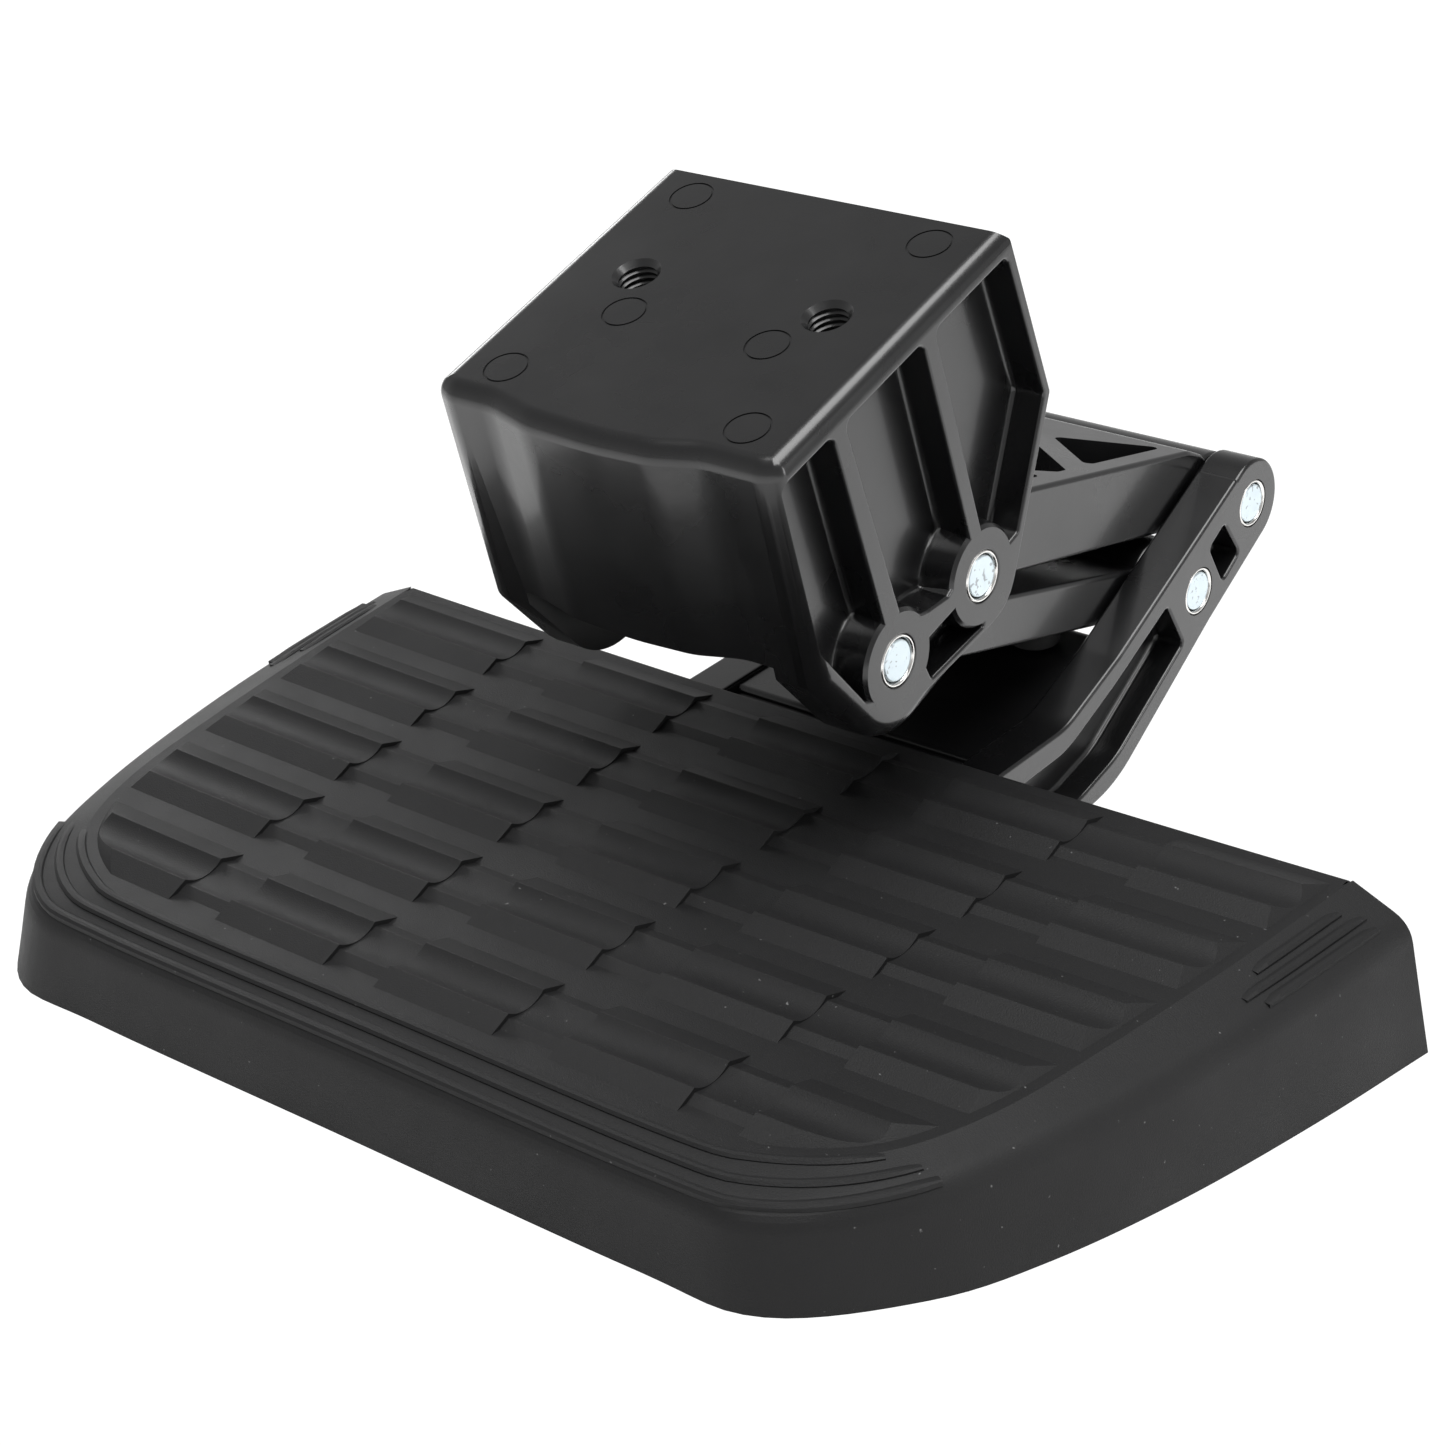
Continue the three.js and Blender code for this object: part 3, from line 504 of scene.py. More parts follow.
def fine_grain_group():
    """Height of a moulded or sprayed surface: fine pits over a slow ripple."""
    group, inside, outside = new_group(
        "Fine grain", {"Grain scale": 2500.0, "Ripple scale": 60.0, "Ripple share": 0.3}, ["Height"])
    pits = add_node(group, "ShaderNodeTexNoise", Detail=3.0, Roughness=0.6)
    ripple = add_node(group, "ShaderNodeTexNoise", Detail=1.0, Roughness=0.5)
    mix = add_node(group, "ShaderNodeMix")
    connect(group, (inside, "Vector", pits, "Vector"), (inside, "Grain scale", pits, "Scale"),
            (inside, "Vector", ripple, "Vector"), (inside, "Ripple scale", ripple, "Scale"),
            (inside, "Ripple share", mix, "Factor"), (pits, "Fac", mix, "A"), (ripple, "Fac", mix, "B"),
            (mix, "Result", outside, "Height"))


def handling_group():
    """Masks of a handled surface: broad smudges and sparse specks of dust."""
    group, inside, outside = new_group(
        "Handling", {"Smudge scale": 18.0, "Speck scale": 700.0, "Speck limit": 0.76}, ["Smudge", "Specks"])
    smudge = add_node(group, "ShaderNodeTexNoise", Detail=4.0, Roughness=0.65)
    speck = add_node(group, "ShaderNodeTexNoise", Detail=2.0, Roughness=0.4)
    contrast = add_node(group, "ShaderNodeMapRange", From_Min=0.35, From_Max=0.68)
    over = add_node(group, "ShaderNodeMath")
    over.operation = "SUBTRACT"
    sharpen = add_node(group, "ShaderNodeMath")
    sharpen.operation = "MULTIPLY"
    sharpen.use_clamp = True
    sharpen.inputs[1].default_value = SPECK_SHARPNESS
    connect(group, (inside, "Vector", smudge, "Vector"), (inside, "Smudge scale", smudge, "Scale"),
            (inside, "Vector", speck, "Vector"), (inside, "Speck scale", speck, "Scale"),
            (smudge, "Fac", contrast, "Value"), (contrast, "Result", outside, "Smudge"),
            (speck, "Fac", over, 0), (inside, "Speck limit", over, 1), (over, "Value", sharpen, 0),
            (sharpen, "Value", outside, "Specks"))


def make_finish(name, colour, dust, roughness, metallic=0.0, grain=2500.0, depth=0.00002, ripple=0.3,
                ripple_scale=60.0, specks=0.76, smudge_scale=18.0, coat=0.0, specular=0.5):
    """A Principled finish: grained normal, smudged roughness, dusty colour."""
    material = bpy.data.materials.new(name)
    material.use_nodes = True
    tree = material.node_tree
    shader = tree.nodes["Principled BSDF"]
    shader.inputs["Specular IOR Level"].default_value = specular
    shader.inputs["Coat Weight"].default_value = coat
    shader.inputs["Coat Roughness"].default_value = COAT_ROUGHNESS
    shader.inputs["Metallic"].default_value = metallic
    spot = tree.nodes.new("ShaderNodeTexCoord")
    surface = add_node(tree, "ShaderNodeGroup", "Fine grain", Grain_scale=grain,
                       Ripple_scale=ripple_scale, Ripple_share=ripple)
    handling = add_node(tree, "ShaderNodeGroup", "Handling", Speck_limit=specks, Smudge_scale=smudge_scale)
    bump = add_node(tree, "ShaderNodeBump", Strength=1.0, Distance=depth)
    gloss = add_node(tree, "ShaderNodeMapRange", To_Min=roughness[0], To_Max=roughness[1])
    tint = tree.nodes.new("ShaderNodeMix")
    tint.data_type = "RGBA"
    tint.inputs["A"].default_value = (*colour, 1.0)
    tint.inputs["B"].default_value = (*dust, 1.0)
    connect(tree, (spot, "Object", surface, "Vector"), (spot, "Object", handling, "Vector"),
            (surface, "Height", bump, "Height"), (bump, "Normal", shader, "Normal"),
            (handling, "Smudge", gloss, "Value"), (gloss, "Result", shader, "Roughness"),
            (handling, "Specks", tint, "Factor"), (tint, "Result", shader, "Base Color"))


def make_finishes(settings):
    """Every finish of the step."""
    fine_grain_group()
    handling_group()
    casting = tuple(settings.casting_colour)
    tread = tuple(settings.tread_colour)
    steel = tuple(settings.zinc_colour)
    make_finish("powder_coated_casting", casting, (0.03, 0.03, 0.03), (0.24, 0.34), grain=900.0,
                depth=0.00003, ripple=0.7, ripple_scale=220.0, coat=0.35, specks=0.8)
    make_finish("grained_tread_plastic", tread, (0.11, 0.11, 0.11), (0.5, 0.6), grain=2600.0,
                depth=0.00011, ripple=0.1, specks=0.76, specular=0.25)
    make_finish("zinc_plate", steel, (0.35, 0.38, 0.4), (0.28, 0.46), metallic=0.85, grain=1500.0,
                depth=0.00004, smudge_scale=260.0, specks=0.62)
    make_finish("ground_ring", (0.75, 0.74, 0.72), (0.4, 0.4, 0.4), (0.16, 0.3), metallic=1.0,
                grain=3000.0, depth=0.00002, smudge_scale=200.0)
    make_finish("bearing_polymer", (0.03, 0.03, 0.032), (0.1, 0.1, 0.1), (0.42, 0.55), grain=2200.0)
    make_finish("spring_wire", (0.13, 0.13, 0.135), (0.05, 0.045, 0.04), (0.3, 0.45), metallic=0.9,
                smudge_scale=120.0)
    make_finish("bump_rubber", (0.014, 0.014, 0.014), (0.08, 0.08, 0.08), (0.7, 0.85), grain=1800.0,
                depth=0.00006)
    make_finish("coated_sheet", (0.012, 0.012, 0.012), (0.05, 0.05, 0.05), (0.35, 0.5), grain=1200.0,
                depth=0.00004)


# --- housing


def housing_plan(z, inset):
    """The housing's outline seen from above at height z: the front wall leans and swells in its middle."""
    flank = -FRONT_FLANK + z * FRONT_LEAN
    swell = flank - FRONT_SWELL
    plan = rounded([(HOUSING_HALF, 60, 1), (-HOUSING_HALF, 60, 1),
                    (-HOUSING_HALF, flank + 2.2, FRONT_EDGE), (5.5 - HOUSING_HALF, flank, FRONT_CORNER),
                    (-35, flank, 26), (-21, swell, 30), (0, swell - 1.0, 100), (18, swell, 30),
                    (31, flank, 26), (HOUSING_HALF - 5.5, flank, FRONT_CORNER),
                    (HOUSING_HALF, flank + 2.2, FRONT_EDGE)], steps=8)
    return [(x, y, z) for x, y in plan(-inset)]


def cheek_pockets(upper, lower):
    """Cutters that leave two ribs in each cheek, and the bosses whole."""
    outlines = [
        [(-53.4, -6, 2.5), (-33.4, -6, 2.5), (-33.7, -70, 1), (-40, -82, 1), (-46.5, -77.5, 1.5),
         (-56.4, -54, 3)],
        [(-28, -6, 2.5), (4.4, -6, 2.5), (3.6, -70, 1), (-9, -74, 1), (-17, -72, 1), (-26.6, -68, 1)],
        [(9.8, -6, 2.5), (41.3, -6, 2.5), (43.6, -49.5, 3), (22, -77.5, 1.5), (14, -78, 1), (9, -70, 1)],
        [(-24, -79.5, 1), (-4, -79.5, 1), (2, -92, 1), (-22, -90.4, 1)]]
    cutters = []
    for corners in outlines:
        for side in SIDES.values():
            cutter = pocket(rounded(corners), HOUSING_HALF, CHEEK_DEPTH, side)
            for centre in (upper, lower):
                cut(cutter, kept_boss(centre, side))
            cutters.append(cutter)
    return cutters


def kept_boss(centre, side):
    """The drafted boss round a pivot that no pocket enters."""
    face = HOUSING_HALF + 3.0
    profile = [(0.0, -1.2), (3.0, -0.9), (3.9, 0.0), (CHEEK_DEPTH + 1.5, 0.8), (CHEEK_DEPTH + 2.6, 1.3),
               (CHEEK_DEPTH + 3.2, 2.6), (CHEEK_DEPTH + 6.0, 2.6)]
    rings = []
    for along, more in profile:
        circle = arc(centre, BOSS_KEPT + more, 0.0, 2 * math.pi, 72)[:-1]
        rings.append([(side * (face - along), y, z) for y, z in circle])
    return loft("cutter", rings)


def housing_body():
    upper = AT_HOUSING["housing_upper"]
    lower = AT_HOUSING["housing_lower"]
    rings = [housing_plan(-HOUSING_EDGE * (1 - math.cos(a)), HOUSING_EDGE * (1 - math.sin(a)))
             for a in quarter_turn(6)]
    body = loft("mount_housing_look", rings + [housing_plan(-112.0, 0.0)])
    front = belt([(-67.6, 4, 5.4), (-66.7, -36, 5.4), (*lower, BOSS_RADIUS + HOUSING_EDGE),
                  (*upper, BOSS_RADIUS), (-10, 4, 5.4)])
    rear = belt([(-30, 4, 1), (*lower, BOSS_RADIUS), (*upper, BOSS_RADIUS), (44.4, -49.7, 2),
                 (42.9, -3, 1.2), (38.5, 4, 1)])
    cheeks = across("cheeks", front, -HOUSING_HALF, HOUSING_HALF, HOUSING_EDGE)
    add(cheeks, across("cheeks", rear, -HOUSING_HALF, HOUSING_HALF, 0.7))
    wall = []
    for half, z in ((FRONT_WALL_HALF, 5.0), (FRONT_WALL_HALF, FRONT_WALL_END + 5.0),
                    (FRONT_WALL_HALF - 5.0, FRONT_WALL_END)):
        wall.append([(half, 30, z), (-half, 30, z), (-half, -85, z), (half, -85, z)])
    add(cheeks, loft("wall", wall))
    boolean(body, [cheeks], "INTERSECT")
    inside = rounded([(-50.0, -ROOF, 4), (-56.4, FRONT_WALL_END, 0.5), (-82, FRONT_WALL_END, 0.5),
                      (-82, -112, 1), (72, -112, 1), (72, REAR_WALL_END, 0.5), (39, REAR_WALL_END, 0.5),
                      (39, -ROOF, 4)])
    cut(body, across("cutter", inside, -HOUSING_INNER, HOUSING_INNER))
    return cut(body, *cheek_pockets(upper, lower))


def tapped_hole(side):
    """A cutter for a countersunk, threaded hole in the housing's top."""
    levels = [(2.5, 1.0), (1.45, 0.0), (0.0, -COUNTERSINK)]
    for turn in range(int(HOLE_DEPTH / THREAD_PITCH)):
        top = -COUNTERSINK - turn * THREAD_PITCH
        for more, share in ((0.0, 0.15), (THREAD_DEPTH, 0.55), (0.0, 0.95)):
            levels.append((more, top - share * THREAD_PITCH))
    rings = []
    for more, z in levels:
        circle = arc((side * HOLE_X, 0.0), HOLE_RADIUS + more, 0.0, 2 * math.pi, 48)[:-1]
        rings.append([(x, y, z) for x, y in circle])
    return loft("cutter", rings)


def housing_details(body):
    for side in SIDES.values():
        boss = rod("boss", HOLE_BOSS, -HOLE_DEPTH - 4, -ROOF + 1, (side * HOLE_X, 0.0), axis="Z")
        add(body, boss)
        cut(body, tapped_hole(side))
        for x, y in EJECTOR_MARKS:
            ring = rod("ring", EJECTOR_RADIUS, -0.35, 1.0, (side * x, y), axis="Z", vertices=48)
            core = rod("core", EJECTOR_RADIUS - 0.55, -0.5, 1.2, (side * x, y), axis="Z", vertices=48)
            cut(ring, core)
            cut(body, ring)
    for pivot in ("housing_upper", "housing_lower"):
        bore = rod("bore", SLEEVE_RADIUS + BORE, -HOUSING_HALF - 1, HOUSING_HALF + 1, AT_HOUSING[pivot])
        cut(body, bore)
        for side in SIDES.values():
            face = side * HOUSING_HALF
            profile = [(face + side, 6.6), (face + side, 8.6), (face, 7.5), (face - side * 0.5, 6.6)]
            cut(body, turned("cutter", profile, AT_HOUSING[pivot]))
    return body


# --- links


def link_frame(first, second):
    """A link's own frame in the tread frame: Y along it from the first pivot, Z above it."""
    (y0, z0), (y1, z1) = AT_TREAD[first], AT_TREAD[second]
    turn = Matrix.Rotation(math.atan2(z1 - z0, y1 - y0), 4, "X")
    length = math.hypot(y1 - y0, z1 - z0)
    return TREAD @ Matrix.Translation((0.0, y0, z0)) @ turn, length


def mirrored(corners):
    return [(-x, *rest) for x, *rest in reversed(corners)]


def link_blank(name, side, length):
    """A link's plain body from its side outline, with the two eyes."""
    body = across(name, side, -LINK_HALF, LINK_HALF, LINK_EDGE)
    for y in (0, length):
        add(body, across("eye", belt([(y, 0, EYE_RADIUS)]), -LINK_HALF, LINK_HALF, LINK_EDGE))
    return body


def link_bores(body, length, far_radius):
    for y, radius in ((0.0, LINK_BUSH_RADIUS), (length, far_radius)):
        cut(body, rod("bore", radius + BORE, -LINK_HALF - 1, LINK_HALF + 1, (y, 0.0)))
    return body


def upper_link_body(length):
    side = rounded([(2, -8.5, 1.5), (length - 2, -8.5, 1.5), (length - 3, 11, 6), (length - 14, 14, 12),
                    (22, 14, 12), (3, 11, 6)])
    body = link_blank("upper_link_look", side, length)
    wall = LINK_HALF - LINK_WALL
    near = [(wall, 79, 2), (wall, 119, 2), (6, 102, 2)]
    far = [(wall, 61, 2), (wall, 20, 2), (9, 26, 2)]
    diamond = [(wall, 65, 2), (wall, 69, 2), (0, 97, 2), (-wall, 69, 2), (-wall, 65, 2), (0, 33, 2)]
    for corners in (near, mirrored(near), far, mirrored(far), diamond):
        cut(body, well(rounded(corners), -8.5 + LINK_FLOOR, 20.0))
    return link_bores(body, length, OPEN_BUSH_RADIUS)


def lower_link_body(length):
    side = rounded([(2, -10, 1.5), (length - 2, -10, 1.5), (length - 2, 4.5, 1.5), (2, 4.5, 1.5)])
    body = link_blank("lower_link_look", side, length)
    wall = LINK_HALF - LINK_WALL
    for start, end in ((24, 62), (70, 118)):
        bay = [(3, start, 3), (wall, start, 3), (wall, end, 3), (3, end, 3)]
        for corners in (bay, mirrored(bay)):
            cut(body, well(rounded(corners), 4.5 - LINK_FLOOR, -20.0, floor=-1.2))
    cut(body, rod("slot", SPRING_SLOT_RADIUS, -SPRING_SLOT, SPRING_SLOT, (0.0, 0.0)))
    for side in SIDES.values():
        ends = sorted((side * (SPRING_SLOT - 1), side * (SPRING_SLOT + SPRING_SEAT)))
        cut(body, rod("seat", SPRING_RADIUS + SPRING_WIRE + 0.5, *ends, (0.0, 0.0)))
    return link_bores(body, length, LINK_BUSH_RADIUS)


# --- arm


def arm_body():
    upper = AT_TREAD["arm_upper"]
    lower = AT_TREAD["arm_lower"]
    side = rounded([
        (upper[0] - 5.6, upper[1] + 12, 1.5), (90, 6.4, 30), (64, -3.4, 24), (31.5, -3.4, 0.8),
        (31.5, -6.3, 0.8), (-72, -6.3, 4), (-72, -15, 4), (24, -26, 20), (52, -34.8, 20), (87, -32.4, 40),
        (lower[0] + 6.2, lower[1] - 11.4, 1.5)], steps=10)
    ends = belt([(*upper, ARM_END_RADIUS), (*lower, ARM_END_RADIUS)])
    web = rounded([(38, -4.6, 2), (64, -4.6, 24), (88, 2.5, 24), (104, 2.5, 6), (113, -3.5, 2), (110, -10, 2),
                   (98, -4.5, 8), (86, -5.5, 20), (64, -12.5, 20), (38, -12.5, 0.5)], steps=10)
    body = across("swing_arm_look", web, -ARM_INNER - 3, ARM_INNER + 3)
    add(body, cube(-ARM_INNER - 3, ARM_INNER + 3, -69, 40, -12.5, -6.3))
    for low, high in ((ARM_INNER, ARM_HALF), (-ARM_HALF, -ARM_INNER)):
        add(body, across("flange", side, low, high, 1.0), across("flange", ends, low, high, 1.0))
    pockets = [
        rounded([(136.6, 20.2, 1.8), (144.6, 24.6, 1.8), (152.4, 12.8, 1.8), (143.6, 7.4, 1.8)]),
        rounded([(114.6, 11.4, 2), (122.8, -3.4, 2), (88, -23.6, 30), (70, -28, 20), (44, -28, 6),
                 (30, -20, 4), (30, -11.5, 3), (64, -10.8, 30), (88, -1.2, 30)], steps=8)]
    for outline in pockets:
        for side in SIDES.values():
            cut(body, pocket(outline, ARM_HALF, ARM_POCKET, side))
    for pivot in (upper, lower):
        cut(body, rod("bore", SLEEVE_RADIUS + BORE, -ARM_HALF - 1, ARM_HALF + 1, pivot))
    for node in BOLTS:
        centre = TREAD.inverted() @ node_centre(node)
        cut(body, rod("bore", BOLT_BORE, -17, 0, (centre.x, centre.y), axis="Z", vertices=32))
    return body


# --- tread cover

# half outlines seen from above, as (x, y), from the rear corner round to the middle of the front
PLATEAU = ((158, 30.5), (153.6, -16), (148, -60), (141.5, -96), (129.5, -122), (108, -137), (84, -141),
           (0, -141))
TOP_EDGE = ((174, 30), (168.8, -20), (162, -60), (152.4, -98), (139.8, -129), (119, -150.8), (90, -155),
            (0, -155))
RIM = ((180.2, 29.6), (175.3, -16), (168.2, -62), (158.5, -101.5), (146.3, -130), (121.5, -157),
       (88, -159.9), (0, -159.9))
FRONT_RIBS = ((0.06, -121), (0.45, -118), (0.82, -116))      # share of the shoulder's width, and last y
REAR_RIBS = ((0.24, -16), (0.5, -28), (0.74, -23))           # share of the shoulder's width, and first y
REAR_RIBS_END = 22
FRONT_RIB_SIZE = (3.0, 0.7)                                  # width and height
REAR_RIB_SIZE = (3.2, 0.8)
EDGE_FILLET = 5.0           # where the shoulder turns into the skirt
REAR_FILLET = 1.6
SIDE_SAMPLES = 72
REAR_SAMPLES = 24


def rim_height(y):
    """The rim is level when the step stands, so it falls towards the vehicle in the tread frame."""
    slope = math.tan(math.atan2(-MOUNTS["tread_face"]["axis"][1], MOUNTS["tread_face"]["axis"][2]))
    return RIM_FRONT - (y - COVER_FRONT) * slope


def edge_height(y):
    """Height of the outer top edge, where the shoulder meets the skirt."""
    along = min(max((y + 150) / 180.0, 0.0), 1.0)
    return -3.2 - 3.6 * along


def shell_sections():
    """Sections of the cover's outer skin, one for each step round its outline: plateau, corner, rim."""
    curves = [smooth_path(points, SIDE_SAMPLES) for points in (PLATEAU, TOP_EDGE, RIM)]
    sections = []
    for inner, edge, rim in zip(*curves):
        sections.append((Vector((inner.x, inner.y, 0)), Vector((edge.x, edge.y, edge_height(edge.y))),
                         Vector((rim.x, rim.y, rim_height(rim.y))), EDGE_FILLET))
    mirror = [tuple(Vector((-p.x, p.y, p.z)) for p in s[:3]) + (s[3],) for s in reversed(sections[:-1])]
    rear = []
    for i in range(REAR_SAMPLES + 1):
        x = -157.0 + 314.0 * i / REAR_SAMPLES
        y = 28.2 + ROW_BOW * (x / 157.0) ** 2
        rear.append((Vector((x, y - 3.5, 0)), Vector((x, y + 0.4, 0)), Vector((x, y - 0.9, rim_height(y))),
                     REAR_FILLET))
    return sections + mirror + rear


def shell_profile(section):
    """One section as points from the plateau over the edge to the rim, and back up inside the wall."""
    inner, edge, rim, fillet = section
    near = edge + (inner - edge).normalized() * min(fillet, (inner - edge).length * 0.45)
    far = edge + (rim - edge).normalized() * fillet
    soft = inner + (edge - inner).normalized() * min(1.2, (inner - edge).length * 0.3)
    curve = [near.lerp(edge, t).lerp(edge.lerp(far, t), t) for t in [i / 6.0 for i in range(7)]]
    outward = Vector((rim.x - inner.x, rim.y - inner.y, 0.0)).normalized()
    wall = -outward * SKIRT_WALL
    below = Vector((0.0, 0.0, -SKIN))
    return [inner, soft, *curve, far.lerp(rim, 0.5), rim + Vector((0, 0, 0.4)), rim - outward * 0.4,
            rim + wall * 0.9, rim + wall + Vector((0, 0, 0.4)), edge + wall + 2.2 * below,
            inner + 1.1 * below]


def cover_shell():
    """The cover's moulded skin, open underneath."""
    profiles = [shell_profile(section) for section in shell_sections()]
    rings = [[tuple(profile[level]) for profile in profiles] for level in range(len(profiles[0]))]
    return loft("tread_cover_look", rings)


def bar_ring(x, front, height):
    """A tread bar's section at x: front slope, hollowed top, rear slope."""
    bow = ROW_BOW * (x / 150.0) ** 2
    ridge, back = front + FRONT_RIDGE, front + REAR_RIDGE
    foot = ridge - FRONT_RIDGE * height / 2.5
    tip = back + REAR_SLOPE * height / 2.5
    dip = 0.84 * height
    hollow = []
    for i in range(1, 10):
        t = i / 5.0 - 1.0
        hollow.append(((ridge + back) / 2 + t * (back - ridge) / 2, height - dip * (1 - t * t)))
    points = [(foot, 0.0), (ridge - RIDGE_RADIUS, height - 0.03), (ridge + RIDGE_RADIUS, height - 0.04),
              *hollow, (back - RIDGE_RADIUS, height - 0.04), (back + RIDGE_RADIUS, height - 0.03),
              (tip, 0.0), (tip, -1.5), (foot, -1.5)]
    return [(x, y + bow, z) for y, z in points]


def bar(x0, x1, front, height):
    """A tread bar from x0 to x1."""
    count = max(2, int((x1 - x0) / 15.0))
    stations = [x0 + (x1 - x0) * i / count for i in range(count + 1)]
    return loft("bar", [bar_ring(x, front, height) for x in stations])


def plateau_outline(inset):
    """The plateau's outline drawn in by inset, as (x, y) points."""
    half = smooth_path(PLATEAU, SIDE_SAMPLES)
    points = []
    for i, point in enumerate(half):
        along = (half[min(i + 1, SIDE_SAMPLES - 1)] - half[max(i - 1, 0)]).normalized()
        points.append((point.x + along.y * inset, point.y - along.x * inset))
    return points + [(-x, y) for x, y in reversed(points[:-1])]


def bar_limits():
    """A block that the bars end at: its walls follow the plateau and slope in as they rise."""
    rings = []
    for z, inset in ((-2.0, BAR_MARGIN), (0.0, BAR_MARGIN), (3.0, BAR_MARGIN + BAR_END)):
        rings.append([(x, y, z) for x, y in plateau_outline(inset)])
    return loft("limits", rings)


def tread_bars(high, low):
    """High bars over low ones, row by row."""
    bars = []
    for row in range(ROWS):
        front = ROW_FRONT - ROW_PITCH * row
        spacing = BAR_SPACING - BAR_SPACING_STEP * row
        length = BAR_LENGTH - BAR_LENGTH_STEP * row
        bars.append(bar(-WIDEST_ROW, WIDEST_ROW, front, low))
        for number in range(-2, 3):
            right = BAR_START + number * spacing
            left = -WIDEST_ROW if number == -2 else right - length
            bars.append(bar(left, WIDEST_ROW if number == 2 else right, front, high))
    first, *others = bars
    add(first, *others)
    return boolean(first, [bar_limits()], "INTERSECT")


def shoulder_point(section, share):
    """A point on the cover's shoulder, between the plateau and the outer top edge."""
    return section[0].lerp(section[1], share)


def rib(points, width, height):
    """A raised rib along a path lying on the cover, with tapered ends."""
    rings = []
    count = len(points)
    for i, point in enumerate(points):
        along = (points[min(i + 1, count - 1)] - points[max(i - 1, 0)]).normalized()
        aside = along.cross(Vector((0, 0, 1))).normalized()
        share = 0.1 if i in (0, count - 1) else 0.75 if i in (1, count - 2) else 1.0
        top = height * share
        shape = [(-width / 2, -1.2), (-width / 2, 0.0), (-width * 0.28, top * 0.85), (0.0, top),
                 (width * 0.28, top * 0.85), (width / 2, 0.0), (width / 2, -1.2)]
        rings.append([tuple(point + aside * a + Vector((0, 0, b))) for a, b in shape])
    return loft("rib", rings)


def cover_ribs():
    """Ribs round the front of the shoulder, and short ones at its rear ends."""
    ribs = []
    sections = shell_sections()[:2 * SIDE_SAMPLES - 1]
    for share, end in FRONT_RIBS:
        path = [shoulder_point(section, share) for section in sections]
        ribs.append(rib([point for point in path if point.y < end], *FRONT_RIB_SIZE))
    for share, start in REAR_RIBS:
        for half in (sections[:SIDE_SAMPLES], sections[SIDE_SAMPLES:][::-1]):
            path = [shoulder_point(section, share) for section in half]
            path = [point for point in path if start < point.y < REAR_RIBS_END]
            ribs.append(rib(path, *REAR_RIB_SIZE))
    return ribs


def cover_body(settings):
    body = cover_shell()
    add(body, tread_bars(settings.bar_height, settings.low_bar_height), *cover_ribs())
    cut(body, cube(-ARM_HALF - 1.5, ARM_HALF + 1.5, 12, 45, -60, -SKIN))
    for node in SCREWS:
        centre = TREAD.inverted() @ node_centre(node)
        add(body, rod("boss", SCREW_BOSS, -6.0, -1.5, (centre.x, centre.y), axis="Z", vertices=32))
        cut(body, rod("bore", SCREW_BORE, -7.0, -2.0, (centre.x, centre.y), axis="Z", vertices=24))
    return body


# --- pins, rings, bushes, springs


def pin(half, centre):
    return modify(rod("pin", PIN_RADIUS, -half, half, centre), "BEVEL", width=PIN_CHAMFER, segments=3,
                  limit_method="ANGLE")


def sleeve(side, face, length, centre):
    bore = PIN_RADIUS + BORE
    profile = [(0.0, SLEEVE_RADIUS - 0.3), (0.3, SLEEVE_RADIUS), (length, SLEEVE_RADIUS), (length, bore),
               (0.9, bore), (0.25, bore + 0.35), (0.0, bore + 0.6)]
    return turned("sleeve", [(side * (face - x), radius) for x, radius in profile], centre)


def bush(side, radius, bore, centre):
    face = LINK_HALF + BUSH_FLANGE + 0.1
    profile = [(0.0, bore), (0.0, BUSH_FLANGE_RADIUS), (BUSH_FLANGE, BUSH_FLANGE_RADIUS),
               (BUSH_FLANGE, radius), (BUSH_LENGTH, radius), (BUSH_LENGTH, bore)]
    return turned("bush", [(side * (face - x), r) for x, r in profile], centre)


def spring(side, centre):
    """A wound torsion spring with a tang at each end."""
    start = SPRING_SLOT - 1.5 - SPRING_TURNS * SPRING_PITCH
    points = [(start, 0.0, 2.6), (start, 0.0, 6.0)]
    steps = 24
    for i in range(2, SPRING_TURNS * steps + 1):
        angle = 2 * math.pi * i / steps
        points.append((start + SPRING_PITCH * i / steps, SPRING_RADIUS * math.sin(angle),
                       SPRING_RADIUS * math.cos(angle)))
    x, y, z = points[-1]
    points += [(x + 2.0, y, z), (x + SPRING_SEAT - 0.2, y, z)]
    deselect_all()
    bpy.ops.curve.primitive_nurbs_path_add()
    wire = bpy.context.object
    wire.data.splines.clear()
    line = wire.data.splines.new("POLY")
    line.points.add(len(points) - 1)
    for spot, (px, py, pz) in zip(line.points, points):
        spot.co = (side * px, centre[0] + py, centre[1] + pz, 1.0)
    wire.data.bevel_depth = SPRING_WIRE
    wire.data.bevel_resolution = 3
    wire.data.use_fill_caps = True
    choose(wire)
    bpy.ops.object.convert(target="MESH")
    return bpy.context.object


